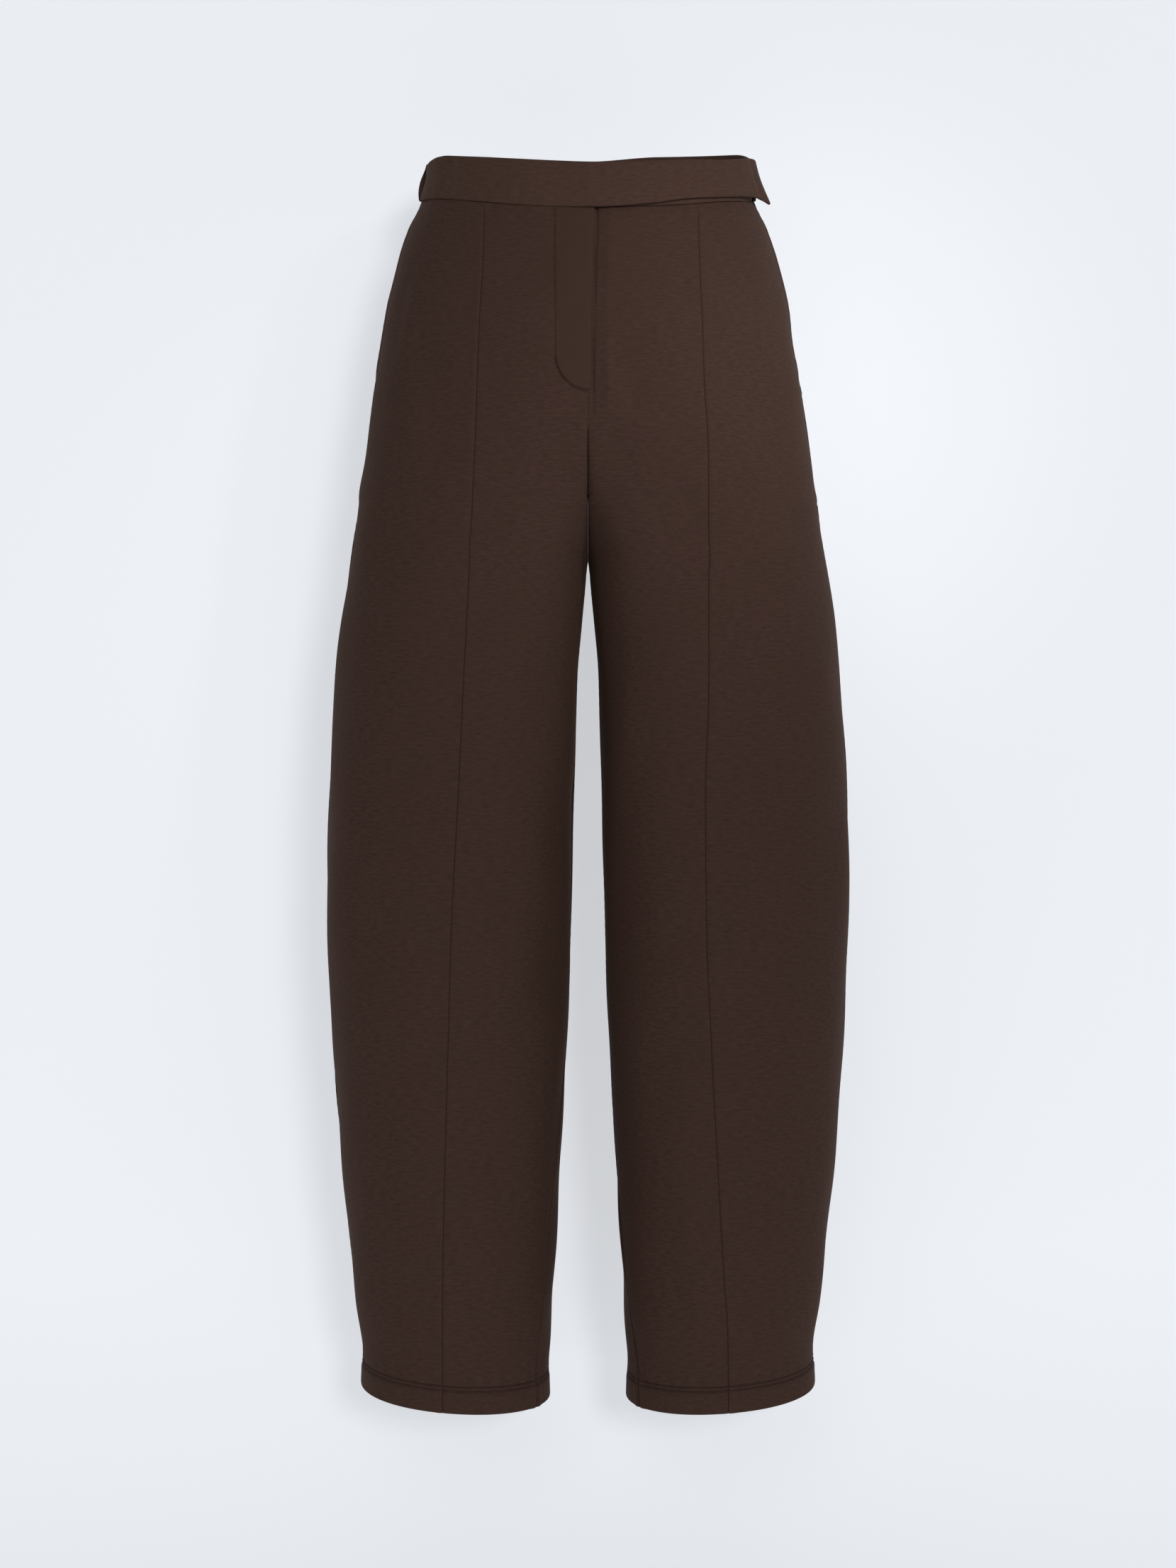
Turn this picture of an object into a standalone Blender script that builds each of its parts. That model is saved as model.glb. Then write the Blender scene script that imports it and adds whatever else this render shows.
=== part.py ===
"""Sweatpants with curved barrel legs, filled out as when worn, with nobody in them.

Units are metres in the scene and millimetres in the tables. +Z is up, the front faces -Y and
+X is the wearer's left. The origin is the middle of the waist, half way up the waistband.
Each leg is a stack of rings. Above the crotch a ring runs on past the middle of the body and
is cut off there, which gives the centre seams and the seat curve.
"""

import math

import bpy
import numpy as np

MM = 0.001

# Driving dimensions
CLOTH = 1.6            # one layer of heavy jersey
DOUBLE = 3.2           # two layers, in the waistband and the turned hem
GAP = 0.3              # clearance left at each seam
HALF_GAP = GAP / 2
HEM_DEPTH = 20.0       # turned hem, up to its twin stitching
CROTCH = -270.0        # height of the crotch
SEAT_TOP = -195.0      # the seat seam curves under the body from here down to the crotch
HEM = -1000.0          # height of the hem's edge
ROUNDNESS = 2.1        # how square the rings are on their outer side, where 2 is an ellipse
FRONT_SLOPE = 0.227    # the waist drops towards the front
BACK_SLOPE = 0.155     # and rises towards the back
BACK_LIFT = 3.5        # more on the wearer's left, at the back
HEM_INSIDE = 0.07      # the hem drops towards the inside of the leg
HEM_FRONT = 0.085      # and towards the front
FLY_END = -188.0       # bottom of the fly's lap
SEAM_SINK = 0.6        # a seam lies this far below the cloth beside it
SEAM_REACH = 5.0       # and draws it down over this width
TURN = 26.0            # a leg's cloth turns in towards the other leg this far from its inside
TURN_COLUMNS = 5       # columns of points from there to the seam between the legs
BAND_MARGIN = 2.5      # a band's last column of points is this near its end
POCKET_TOP, POCKET_END = -30.0, -170.0
POCKET_STAND = 2.2     # the pocket mouth stands open by this much

COLOURS = {
    "front_centre": "#3d2e29",
    "front_side": "#3f302b",
    "back": "#3a2b26",
    "waistband": "#43342e",
    "pocket": "#4a3931",
}

# Rings from waist to hem. height: level at the side seam. outer, inner: the leg's extremes,
# from the middle plane. front, back: depth each way from its middle. middle: that middle in Y.
# Where inner is negative the ring reaches the middle plane, and lies flat along it.
# corner: how square the ring is on its inner side, where 2 is an ellipse.
SECTION_COLUMNS = ("height", "outer", "inner", "front", "back", "middle", "corner")
SECTIONS = (
    (20, 135.0, -135.0, 96, 96, 0, 2.1),
    (-20, 137.6, -137.6, 97, 97, 0, 2.1),
    (-38, 144.7, -144.7, 99, 100, 0, 2.1),
    (-61, 152.6, -152.6, 101, 106, 0, 2.1),
    (-85, 158.7, -158.7, 103, 112, 0, 2.1),
    (-108, 164.0, -164.0, 105, 116, 0, 2.1),
    (-131, 168.0, -163.0, 106, 119, 0, 2.15),
    (-155, 172.2, -155.8, 106, 121, 0, 2.2),
    (-178, 176.0, -141.1, 105, 121, 0, 2.3),
    (-192, 177.9, -124.0, 104, 121, 1, 2.4),
    (-205, 179.7, -104.0, 103, 120, 2, 2.5),
    (-218, 181.5, -83.0, 102, 119, 3, 2.6),
    (-230, 183.2, -65.0, 101, 118, 4, 2.7),
    (-243, 185.1, -48.0, 100.5, 116.5, 5, 2.8),
    (-255, 186.9, -35.0, 100, 115, 6, 2.9),
    (-270, 189.2, -22.0, 99.5, 113, 7, 3.0),
    (-285, 191.2, -12.5, 99, 111, 7, 3.0),
    (-300, 193.4, -5.5, 99, 109, 6, 3.0),
    (-319, 196.1, 0.7, 99, 107, 5, 2.9),
    (-342, 199.3, 2.8, 99, 105, 4, 2.8),
    (-365, 202.5, 5.0, 99, 103, 3, 2.7),
    (-412, 207.3, 8.8, 99, 100, 0, 2.5),
    (-482, 211.6, 10.8, 98, 97, -3, 2.35),
    (-576, 214.3, 13.1, 97, 95, -4, 2.25),
    (-669, 212.2, 15.5, 96, 93, -1, 2.2),
    (-763, 206.7, 20.5, 92, 91, 3, 2.2),
    (-856, 198.7, 25.5, 87, 86, 7, 2.2),
    (-927, 191.7, 29.5, 82, 81, 10, 2.15),
    (-973, 185.9, 32.7, 78, 78, 11, 2.1),
    (-982, 186.6, 32.2, 78, 78, 11, 2.1),
    (-1000, 187.3, 31.6, 77, 77, 11, 2.1),
)

# The seam down the front of each leg, from the middle plane, and how far the inseam has
# rolled to the front, in degrees of the ring
SEAM_COLUMNS = ("height", "seam_right", "seam_left", "roll_right", "roll_left")
SEAMS = (
    (20, 83, 88, 0, 0),
    (-40, 83.5, 88.5, 0, 0),
    (-150, 87.5, 91.8, 0, 0),
    (-260, 91.5, 95.8, 0, 0),
    (-420, 98.8, 95.6, 0, 0),
    (-510, 103.0, 92.8, 0, 0),
    (-615, 108.4, 93.8, 0, 0),
    (-690, 110.7, 97.0, 0, 0),
    (-790, 113.8, 102.4, 15, 0),
    (-886, 116.2, 108.2, 25, 14),
    (-945, 116.8, 112.4, 29, 24),
    (-1000, 116.8, 112.8, 31, 31),
)

# The waist seam under the band: its height against where it is across the front
WAIST_SEAM_COLUMNS = ("across", "height")
WAIST_SEAM = (
    (-138, -20.0), (-124, -16.4), (-103, -15.8), (-90, -16.8), (-41, -19.2), (0, -20.3),
    (60, -19.5), (85, -18.8), (107, -17.8), (119, -18.0), (138, -20.4),
)

# How far the right front laps past the middle at the fly
LAP_COLUMNS = ("height", "lap")
LAP = ((-194, -0.15), (-188, 2.0), (-100, 3.2), (-15, 5.3))

# The lapping band with its tab: edges and stand-off against the way along it from the centre
# front, to the wearer's left. out: its face beyond the waist ring at the foot and at the top.
TAB_COLUMNS = ("along", "foot", "top", "out_foot", "out_top")
TAB = (
    (-186, -19.8, 9.5, 0.8, -2.8),
    (-171, -18.4, 12.5, 0.8, -2.6),
    (-141, -16.0, 18.2, 0.8, -0.6),
    (-127, -15.4, 19.5, 0.8, 0.4),
    (-94, -16.4, 19.2, 0.8, 0.8),
    (-61, -18.2, 18.2, 0.8, 0.8),
    (-25, -19.7, 16.8, 0.8, 0.8),
    (4, -19.9, 16.0, 2.6, 2.6),
    (50, -17.2, 16.5, 2.6, 2.6),
    (88, -13.8, 17.0, 2.6, 2.6),
    (118, -13.6, 16.4, 2.6, 2.6),
    (150, -14.6, 16.6, 2.8, 2.6),
    (168, -16.5, 16.2, 3.4, 2.6),
    (186, -22.5, 15.0, 4.0, 2.6),
)
TAB_LEAVES = 150.0     # here the tab's foot stops following the waist and runs straight on
TAB_TOP_HOLD = 0.9     # its top edge keeps this share of the waist's curve
TAB_TOP_SHORT = 10.0   # the end slants: the top edge is this much shorter
TAB_CREASE = 1.2       # depth of the crease across the end
UNDER_BAND_OUT = -1.1  # the under-band's face lies this far inside the waist ring
BACK_BAND_DROP = {"right": 6.0, "left": 1.5}   # its top is this much lower at the side seams
BACK_BAND_BULGE = {"right": 1.7, "left": 0.3}  # there it swells out low down by this much
BACK_BAND_LEAN = 1.9   # and leans in at its top, as a share of that
LEFT_FRONT_WAYS = [float(way) for way in range(0, 151, 10)]

# The largest folds. Each runs from one point to another on one side of one leg: x is the
# distance from the middle plane. depth: in for a trough, out (negative) for a ridge.
FOLD_COLUMNS = ("leg", "face", "x1", "z1", "x2", "z2", "width", "depth")
FOLDS = (
    ("left", "front", 16, -112, 36, -190, 13, 1.8),
    ("left", "front", 155, -142, 108, -178, 20, 2.0),
    ("left", "front", 128, -60, 140, -120, 16, -1.4),
    ("left", "front", 20, -232, 78, -286, 16, 2.0),
    ("left", "front", 101, -780, 119, -940, 17, 1.8),
    ("left", "front", 45, -640, 95, -610, 18, 1.6),
    ("right", "front", 137, -92, 150, -165, 7, -1.2),
    ("right", "front", 126, -150, 122, -235, 16, 2.0),
    ("right", "front", 16, -196, 72, -270, 15, -1.6),
    ("right", "front", 24, -225, 84, -292, 15, 2.0),
    ("right", "front", 17, -510, 31, -662, 14, 2.6),
    ("right", "front", 86, -712, 34, -680, 15, 1.8),
    ("right", "front", 80, -854, 58, -838, 14, 1.4),
    ("left", "back", 14, -255, 88, -306, 15, 2.8),
    ("left", "back", 26, -292, 104, -334, 16, 2.2),
    ("left", "back", 52, -604, 128, -580, 17, 2.2),
    ("left", "back", 60, -664, 140, -700, 18, 1.8),
    ("left", "back", 96, -800, 112, -930, 18, 1.8),
    ("right", "back", 14, -258, 92, -300, 15, 2.8),
    ("right", "back", 28, -298, 98, -342, 16, 2.2),
    ("right", "back", 48, -588, 120, -612, 17, 2.2),
    ("right", "back", 66, -690, 146, -668, 18, 1.8),
    ("right", "back", 104, -790, 92, -920, 18, 1.8),
)

# Heights of the mesh rows below the waist seam
PANEL_ROWS = (
    -20.3, -28, -36, -50, -66, -86, -108, -130, -150, -166, -178, -188, -194, -203, -214, -225,
    -235, -245, -254, -261, -266, -269, -270, -274, -284, -300, -320, -343, -370, -402, -436,
    -472, -510, -548, -586, -624, -662, -700, -738, -776, -814, -850, -884, -914, -940, -960,
    -974, -978.5, -981, -990, -1000,
)
HEM_START = -980.0

# The panels: which leg, the seams they run between and how many columns they have
PANEL_COLUMNS = ("name", "leg", "from_seam", "to_seam", "columns", "colour")
PANELS = (
    ("front_centre_right", "right", "centre", "front_seam", 10, "front_centre"),
    ("front_centre_left", "left", "centre", "front_seam", 10, "front_centre"),
    ("front_side_right", "right", "front_seam", "side", 7, "front_side"),
    ("front_side_left", "left", "front_seam", "side", 7, "front_side"),
    ("back_right", "right", "side", "centre_back", 14, "back"),
    ("back_left", "left", "side", "centre_back", 14, "back"),
)


def smooth_curve(table, names, name, at):
    """Value of a table's column at a place in its first column, with no overshoot."""
    rows = sorted(table)
    xs = np.array([row[0] for row in rows], float)
    ys = np.array([row[names.index(name)] for row in rows], float)
    if at <= xs[0]:
        return ys[0]
    if at >= xs[-1]:
        return ys[-1]
    gaps = np.diff(xs)
    slopes = np.diff(ys) / gaps
    tangents = np.zeros(len(xs))
    tangents[0], tangents[-1] = slopes[0], slopes[-1]
    for i in range(1, len(xs) - 1):
        if slopes[i - 1] * slopes[i] > 0:
            tangents[i] = 2 * slopes[i - 1] * slopes[i] / (slopes[i - 1] + slopes[i])
    i = int(np.searchsorted(xs, at)) - 1
    t = (at - xs[i]) / gaps[i]
    rise = ys[i] * (2 * t**3 - 3 * t**2 + 1) + ys[i + 1] * (3 * t**2 - 2 * t**3)
    bend = tangents[i] * (t**3 - 2 * t**2 + t) + tangents[i + 1] * (t**3 - t**2)
    return rise + gaps[i] * bend


def ease(value, start, end):
    """0 before start, 1 past end, smooth between; start may be the larger."""
    t = min(1.0, max(0.0, (value - start) / (end - start)))
    return t * t * (3 - 2 * t)


class Ring:
    """One leg's section at a height, from the centre front round the side to the back.

    Places on it are given by the way along, in mm, and how far out from the cloth's face.
    """

    SAMPLES = 361

    def __init__(self, leg, height, lap=0.0):
        get = {name: smooth_curve(SECTIONS, SECTION_COLUMNS, name, height)
               for name in SECTION_COLUMNS[1:]}
        roll = math.radians(smooth_curve(SEAMS, SEAM_COLUMNS, "roll_" + leg, height))
        seam_x = smooth_curve(SEAMS, SEAM_COLUMNS, "seam_" + leg, height)
        centre = (get["outer"] + get["inner"]) / 2
        half = (get["outer"] - get["inner"]) / 2
        if height > CROTCH:
            seat = self.seat_angle(height, get["corner"])
            start = min(seat, self.angle_at(HALF_GAP - lap, centre, half, get["corner"]))
            end = math.tau - min(seat, self.angle_at(HALF_GAP, centre, half, get["corner"]))
        else:
            start, end = roll, math.tau + roll
        angles = np.linspace(start, end, self.SAMPLES)
        cos, sin = np.cos(angles), np.sin(angles)
        power = 2 / np.where(cos > 0, get["corner"], ROUNDNESS)
        self.x = centre - half * np.sign(cos) * np.abs(cos) ** power
        self.x = np.maximum(self.x, HALF_GAP - lap)
        depth = np.where(sin > 0, get["front"], get["back"])
        self.y = get["middle"] - depth * np.sign(sin) * np.abs(sin) ** power
        steps = np.hypot(np.diff(self.x), np.diff(self.y))
        self.along = np.concatenate([[0.0], np.cumsum(steps)])
        tx, ty = np.gradient(self.x, self.along), np.gradient(self.y, self.along)
        length = np.hypot(tx, ty)
        self.nx, self.ny = ty / length, -tx / length
        front = np.interp(self.angle_at(seam_x, centre, half, get["corner"]), angles, self.along)
        side = np.interp(math.pi, angles, self.along)
        self.seams = {"centre": 0.0, "front_seam": float(front), "side": float(side),
                      "centre_back": float(self.along[-1])}
        turn = self.angle_at(max(0.0, get["inner"]) + TURN, centre, half, get["corner"])
        self.turns = {"centre": float(np.interp(turn, angles, self.along)),
                      "centre_back": float(np.interp(math.tau - turn, angles, self.along))}
        self.leg, self.height = leg, height

    @staticmethod
    def angle_at(x, centre, half, corner):
        """The ring's angle where its front half reaches x."""
        share = max(-1.0, min(1.0, (centre - x) / half))
        exponent = corner if share > 0 else ROUNDNESS
        return math.acos(math.copysign(abs(share) ** (exponent / 2), share))

    @staticmethod
    def seat_angle(height, corner):
        """The ring's angle where the seat seam crosses it, between the legs."""
        if height > SEAT_TOP:
            return math.pi / 2
        share = math.sqrt(max(0.0, 1 - ((SEAT_TOP - height) / (SEAT_TOP - CROTCH)) ** 2))
        return math.asin(share ** (corner / 2))

    def at(self, along, out=0.0):
        """x and y at a way along the ring, moved out from its face."""
        x, y, nx, ny = (float(np.interp(along, self.along, v))
                        for v in (self.x, self.y, self.nx, self.ny))
        return x + nx * out, y + ny * out


def waist_tilt(x, y):
    """Rise of the waist at a place in plan: down to the front, up to the back."""
    if y < 0:
        return FRONT_SLOPE * y
    return BACK_SLOPE * y + BACK_LIFT * ease(x, 0, 60) * ease(y, 0, 40)


def level(height, x, y):
    """Height of a ring's point: tilted at the waist, and lower inside and in front at the hem."""
    tilt = waist_tilt(x, y) * ease(height, -150, -20)
    drop = HEM_INSIDE * (abs(x) - 110) + HEM_FRONT * min(y - 11, 0)
    return height + tilt + drop * ease(height, -850, -1000)


def fold_offset(leg, y_side, x, z):
    """How far the folds move the cloth's face out at a point of a leg, in mm."""
    total = 0.0
    for row in FOLDS:
        fold = dict(zip(FOLD_COLUMNS, row))
        if fold["leg"] != leg or fold["face"] != y_side:
            continue
        ax, az, bx, bz = fold["x1"], fold["z1"], fold["x2"], fold["z2"]
        length2 = (bx - ax) ** 2 + (bz - az) ** 2
        t = ((x - ax) * (bx - ax) + (z - az) * (bz - az)) / length2
        near = min(1.0, max(0.0, t))
        off = math.hypot(x - ax - near * (bx - ax), z - az - near * (bz - az))
        total -= fold["depth"] * math.exp(-(off / fold["width"]) ** 2)
    return total


def fly_inset(leg, x, height):
    """The left front lies under the right one at the fly."""
    if leg == "right":
        return 0.0
    return (CLOTH + GAP + 0.5) * ease(x, 18, 7) * ease(height, -213, -195)


def face_point(ring, along, out, x_least=HALF_GAP):
    """A point of a panel's face, with folds, in leg coordinates (x away from the middle)."""
    x, y = ring.at(along)
    fold = fold_offset(ring.leg, "front" if along < ring.seams["side"] else "back",
                       x, ring.height)
    fold *= ease(x, 0, 22) * ease(ring.height, -985, -950) * ease(ring.height, -26, -60)
    x, y = ring.at(along, out + fold - fly_inset(ring.leg, x, ring.height))
    return max(x, x_least), y


def to_world(leg, x, y, height):
    """Leg coordinates in mm to the scene's metres."""
    x = x if leg == "left" else -x
    return (x * MM, y * MM, level(height, x, y) * MM)


def colour(hex_code):
    """sRGB hex to the linear colour that Blender takes."""
    values = [int(hex_code[i:i + 2], 16) / 255 for i in (1, 3, 5)]
    return tuple(v / 12.92 if v < 0.04045 else ((v + 0.055) / 1.055) ** 2.4
                 for v in values) + (1.0,)


def cloth_material(name):
    """Matt heavy jersey."""
    material = bpy.data.materials.new("jersey_" + name)
    material.use_nodes = True
    shader = material.node_tree.nodes["Principled BSDF"]
    shader.inputs["Base Color"].default_value = colour(COLOURS[name])
    shader.inputs["Roughness"].default_value = 0.9
    shader.inputs["Metallic"].default_value = 0.0
    return material


def cloth_sheet(name, rows, thickness, material, collection, thin=None, flip=False):
    """A solid from a grid of points on the cloth's face, thickened inwards.

    thin holds, for each row, the share of the thickness that it keeps.
    """
    wide = len(rows[0])
    points = [point for row in rows for point in row]
    faces = []
    for i in range(len(rows) - 1):
        for j in range(wide - 1):
            a = i * wide + j
            quad = (a, a + wide, a + wide + 1, a + 1)
            faces.append(quad[::-1] if flip else quad)
    mesh = bpy.data.meshes.new(name)
    mesh.from_pydata(points, [], faces)
    mesh.materials.append(material)
    sheet = bpy.data.objects.new(name, mesh)
    collection.objects.link(sheet)
    solid = sheet.modifiers.new("wall", "SOLIDIFY")
    solid.thickness = thickness * MM
    solid.offset = -1.0
    if thin:
        group = sheet.vertex_groups.new(name="layers")
        for i, share in enumerate(thin):
            group.add(list(range(i * wide, (i + 1) * wide)), share, "REPLACE")
        solid.vertex_group = group.name
    return sheet


def spread(start, end, columns, turn=None, turns_at_start=True):
    """Ways along a panel: close to its two seams, and even between them.

    A panel that reaches the middle has TURN_COLUMNS of its columns between turn, where it
    turns in between the legs, and its seam there. So the other columns run straight down.
    """
    margin = min(SEAM_REACH, (end - start) / 4)
    first, last = start + margin, end - margin
    if turn is None:
        return [start, *np.linspace(first, last, columns - 1), end]
    others = columns - TURN_COLUMNS
    if turns_at_start:
        ways = [*np.linspace(first, turn, TURN_COLUMNS), *np.linspace(turn, last, others)[1:]]
    else:
        ways = [*np.linspace(first, turn, others), *np.linspace(turn, last, TURN_COLUMNS)[1:]]
    return [start, *ways, end]


def row_height(height, across, is_front):
    """A panel row's height, where the top rows follow the waist seam under the band."""
    if not is_front:
        return height
    seam = smooth_curve(WAIST_SEAM, WAIST_SEAM_COLUMNS, "height", across)
    return height + (seam + 20.0) * ease(height, -75, -20.3)


def pocket_mouth(height):
    """1 along the pocket mouth, 0 beyond its two ends."""
    return ease(height, POCKET_TOP, POCKET_TOP - 12) * ease(height, POCKET_END, POCKET_END + 14)


def make_panel(spec, materials, collection):
    """One cut piece of a leg, between two of its seams."""
    is_front = spec["to_seam"] != "centre_back"
    rows = []
    for height in PANEL_ROWS:
        lap = 0.0
        if spec["name"] == "front_centre_right":
            lap = smooth_curve(LAP, LAP_COLUMNS, "lap", height)
            lap = max(0.0, lap) if height > -194 else 0.0
        ring = Ring(spec["leg"], height, lap)
        start, end = ring.seams[spec["from_seam"]], ring.seams[spec["to_seam"]]
        apart = height <= CROTCH
        start += HALF_GAP if apart or spec["from_seam"] != "centre" else 0.0
        end -= HALF_GAP if apart or spec["to_seam"] != "centre_back" else 0.0
        if spec["to_seam"] == "side":
            end -= POCKET_STAND * pocket_mouth(height)
        turn = ring.turns.get("centre" if is_front else "centre_back")
        if spec["from_seam"] == "front_seam":
            turn = None
        ways = spread(start, end, spec["columns"], turn, is_front)
        row = []
        for j, along in enumerate(ways):
            at_start, at_end = j == 0, j == len(ways) - 1
            out = 0.0
            if (at_start or at_end) and height < PANEL_ROWS[0]:
                out = -SEAM_SINK
            if at_start and spec["from_seam"] == "centre":
                out *= ease(height, FLY_END - 6, FLY_END - 22)
            if at_end and spec["to_seam"] == "side":
                out += 1.3 * pocket_mouth(height)
            if abs(height + 978.5) < 1:
                out -= 0.7
            x, y = face_point(ring, along, out, HALF_GAP - lap)
            across = x if spec["leg"] == "left" else -x
            row.append(to_world(spec["leg"], x, y, row_height(height, across, is_front)))
        rows.append(row)
    thin = [1.0 if height < HEM_START else CLOTH / DOUBLE for height in PANEL_ROWS]
    return cloth_sheet(spec["name"], rows, DOUBLE, materials[spec["colour"]], collection,
                       thin, flip=spec["leg"] == "right")


def make_pocket_facing(leg, materials, collection):
    """The strip of cloth behind a side pocket's mouth."""
    reach, sunk = 15.0, CLOTH + GAP + SEAM_SINK + 0.2
    rows = []
    for height in np.linspace(POCKET_TOP + 5, POCKET_END - 7, 11):
        ring = Ring(leg, height)
        side = ring.seams["side"]
        row = [to_world(leg, *face_point(ring, side + step, -sunk), height)
               for step in np.linspace(-reach, reach, 5)]
        rows.append(row)
    return cloth_sheet("pocket_facing_" + leg, rows, CLOTH, materials["pocket"], collection,
                       flip=leg == "right")


def waist_point(along, height, out):
    """A point beyond the waist ring; along runs from the centre front to the wearer's left."""
    ring = WAIST_RINGS["left" if along >= 0 else "right"]
    shrink = 1.0 - 0.00047 * (height + 20.0)
    x, y = ring.at(abs(along), out)
    x, y = x * shrink, y * shrink
    return (x, y) if along >= 0 else (-x, y)


def make_lapping_band(materials, collection):
    """The right front band, which laps over the centre front and ends in a tab."""
    end = TAB[-1][0]
    start = -WAIST_RINGS["right"].seams["side"] + HALF_GAP
    ways = [start, *np.linspace(start + BAND_MARGIN, -10, 14), *LEFT_FRONT_WAYS,
            *np.linspace(TAB_LEAVES + 5, end, 8)]
    rows = []
    for v in (0.0, 0.1, 0.36, 0.64, 0.9, 1.0):
        row = []
        for way in ways:
            along = way
            if way > TAB_LEAVES:
                short = TAB_TOP_SHORT * v
                along = TAB_LEAVES + (way - TAB_LEAVES) * (end - short - TAB_LEAVES) / (
                    end - TAB_LEAVES)
            get = {name: smooth_curve(TAB, TAB_COLUMNS, name, way)
                   for name in TAB_COLUMNS[1:]}
            height = get["foot"] + (get["top"] - get["foot"]) * v
            out = get["out_foot"] + (get["out_top"] - get["out_foot"]) * ease(v, 0, 0.7)
            crease_at = 158 + 14 * (1 - v)
            out -= TAB_CREASE * math.exp(-((along - crease_at) / 4.0) ** 2)
            x, y = waist_point(along, height, out)
            if along > TAB_LEAVES:
                ax, ay = waist_point(TAB_LEAVES, height, out)
                bx, by = waist_point(TAB_LEAVES - 6, height, out)
                run = (along - TAB_LEAVES) / 6
                keep = TAB_TOP_HOLD * v
                x = keep * x + (1 - keep) * (ax + (ax - bx) * run)
                y = keep * y + (1 - keep) * (ay + (ay - by) * run)
            tilt_y = max(y, -97)
            row.append((x * MM, y * MM, (height + waist_tilt(x, tilt_y)) * MM))
        rows.append(row)
    return cloth_sheet("waistband_front_tab", rows[::-1], DOUBLE, materials["waistband"],
                       collection)


def make_under_band(materials, collection):
    """The left front band, hidden by the tab but for its lower edge."""
    end = WAIST_RINGS["left"].seams["side"] - HALF_GAP
    rows = []
    for v in (0.0, 0.1, 0.5, 0.9, 1.0):
        row = []
        for along in (HALF_GAP, *LEFT_FRONT_WAYS[1:], 160, 170, end - BAND_MARGIN, end):
            x, y = waist_point(along, -20, UNDER_BAND_OUT)
            foot = smooth_curve(WAIST_SEAM, WAIST_SEAM_COLUMNS, "height", x) + 0.3
            height = foot + (15.0 - foot) * v
            x, y = waist_point(along, height, UNDER_BAND_OUT - 1.6 * ease(along, 140, 160))
            row.append((x * MM, y * MM, (height + waist_tilt(x, y)) * MM))
        rows.append(row)
    return cloth_sheet("waistband_front_left", rows[::-1], DOUBLE, materials["waistband"],
                       collection)


def make_back_band(materials, collection):
    """The back band, from one side seam round the back to the other."""
    rows = []
    for v in (0.0, 0.1, 0.36, 0.64, 0.9, 1.0):
        row = []
        for leg, sign in (("left", 1), ("right", -1)):
            ring = WAIST_RINGS[leg]
            start, end = ring.seams["side"] + HALF_GAP, ring.along[-1]
            ways = [start, *np.linspace(start + BAND_MARGIN, end, 15)]
            if sign < 0:
                ways = ways[-2::-1]
            for along in ways:
                near_end = math.exp(-((along - start) / 30) ** 2)
                height = -20.0 + (37.0 - BACK_BAND_DROP[leg] * near_end) * v
                bulge = math.exp(-((v - 0.27) / 0.3) ** 2) - BACK_BAND_LEAN * ease(v, 0.5, 1)
                bulge *= BACK_BAND_BULGE[leg] * near_end
                x, y = ring.at(along, 0.8 + bulge)
                shrink = 1.0 - 0.00047 * (height + 20.0)
                x, y = x * shrink, y * shrink
                if along == end:
                    x = 0.0
                row.append((sign * x * MM, y * MM,
                            (height + waist_tilt(sign * x, y)) * MM))
        rows.append(row)
    return cloth_sheet("waistband_back", rows[::-1], DOUBLE, materials["waistband"], collection)


def clear_scene():
    for thing in list(bpy.data.objects):
        bpy.data.objects.remove(thing, do_unlink=True)


def main():
    clear_scene()
    collection = bpy.data.collections.new("sweatpants")
    bpy.context.scene.collection.children.link(collection)
    materials = {name: cloth_material(name) for name in COLOURS}
    for row in PANELS:
        make_panel(dict(zip(PANEL_COLUMNS, row)), materials, collection)
    for leg in ("right", "left"):
        make_pocket_facing(leg, materials, collection)
    make_lapping_band(materials, collection)
    make_under_band(materials, collection)
    make_back_band(materials, collection)


WAIST_RINGS = {leg: Ring(leg, -20.0) for leg in ("right", "left")}

main()
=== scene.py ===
"""Looks for the sweatpants: jersey panels with their creases, seams, hems and stitches.

Tables are in millimetres, the scene in metres. +Z is up, the front faces -Y and +X is the
wearer's left. Each leg is a stack of rings, as in the CAD part, and each panel is a closed
wall between two of its seams, with folds and creases pressed into the rings.
"""

import functools
import math

import bpy
import numpy as np
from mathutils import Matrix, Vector


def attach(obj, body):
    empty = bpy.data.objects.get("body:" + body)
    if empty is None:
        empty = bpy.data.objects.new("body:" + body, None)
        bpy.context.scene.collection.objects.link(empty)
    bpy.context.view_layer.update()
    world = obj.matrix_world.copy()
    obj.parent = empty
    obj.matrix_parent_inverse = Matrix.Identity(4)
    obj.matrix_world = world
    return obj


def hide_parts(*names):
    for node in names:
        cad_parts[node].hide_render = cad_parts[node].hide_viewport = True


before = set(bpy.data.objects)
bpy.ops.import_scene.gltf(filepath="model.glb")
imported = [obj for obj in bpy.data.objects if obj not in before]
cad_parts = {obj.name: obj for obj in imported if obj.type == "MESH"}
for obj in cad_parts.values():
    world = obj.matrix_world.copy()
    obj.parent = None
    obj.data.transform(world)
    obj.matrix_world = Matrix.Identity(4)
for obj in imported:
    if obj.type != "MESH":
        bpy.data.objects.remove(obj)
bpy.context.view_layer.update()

MM = 0.001

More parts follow.
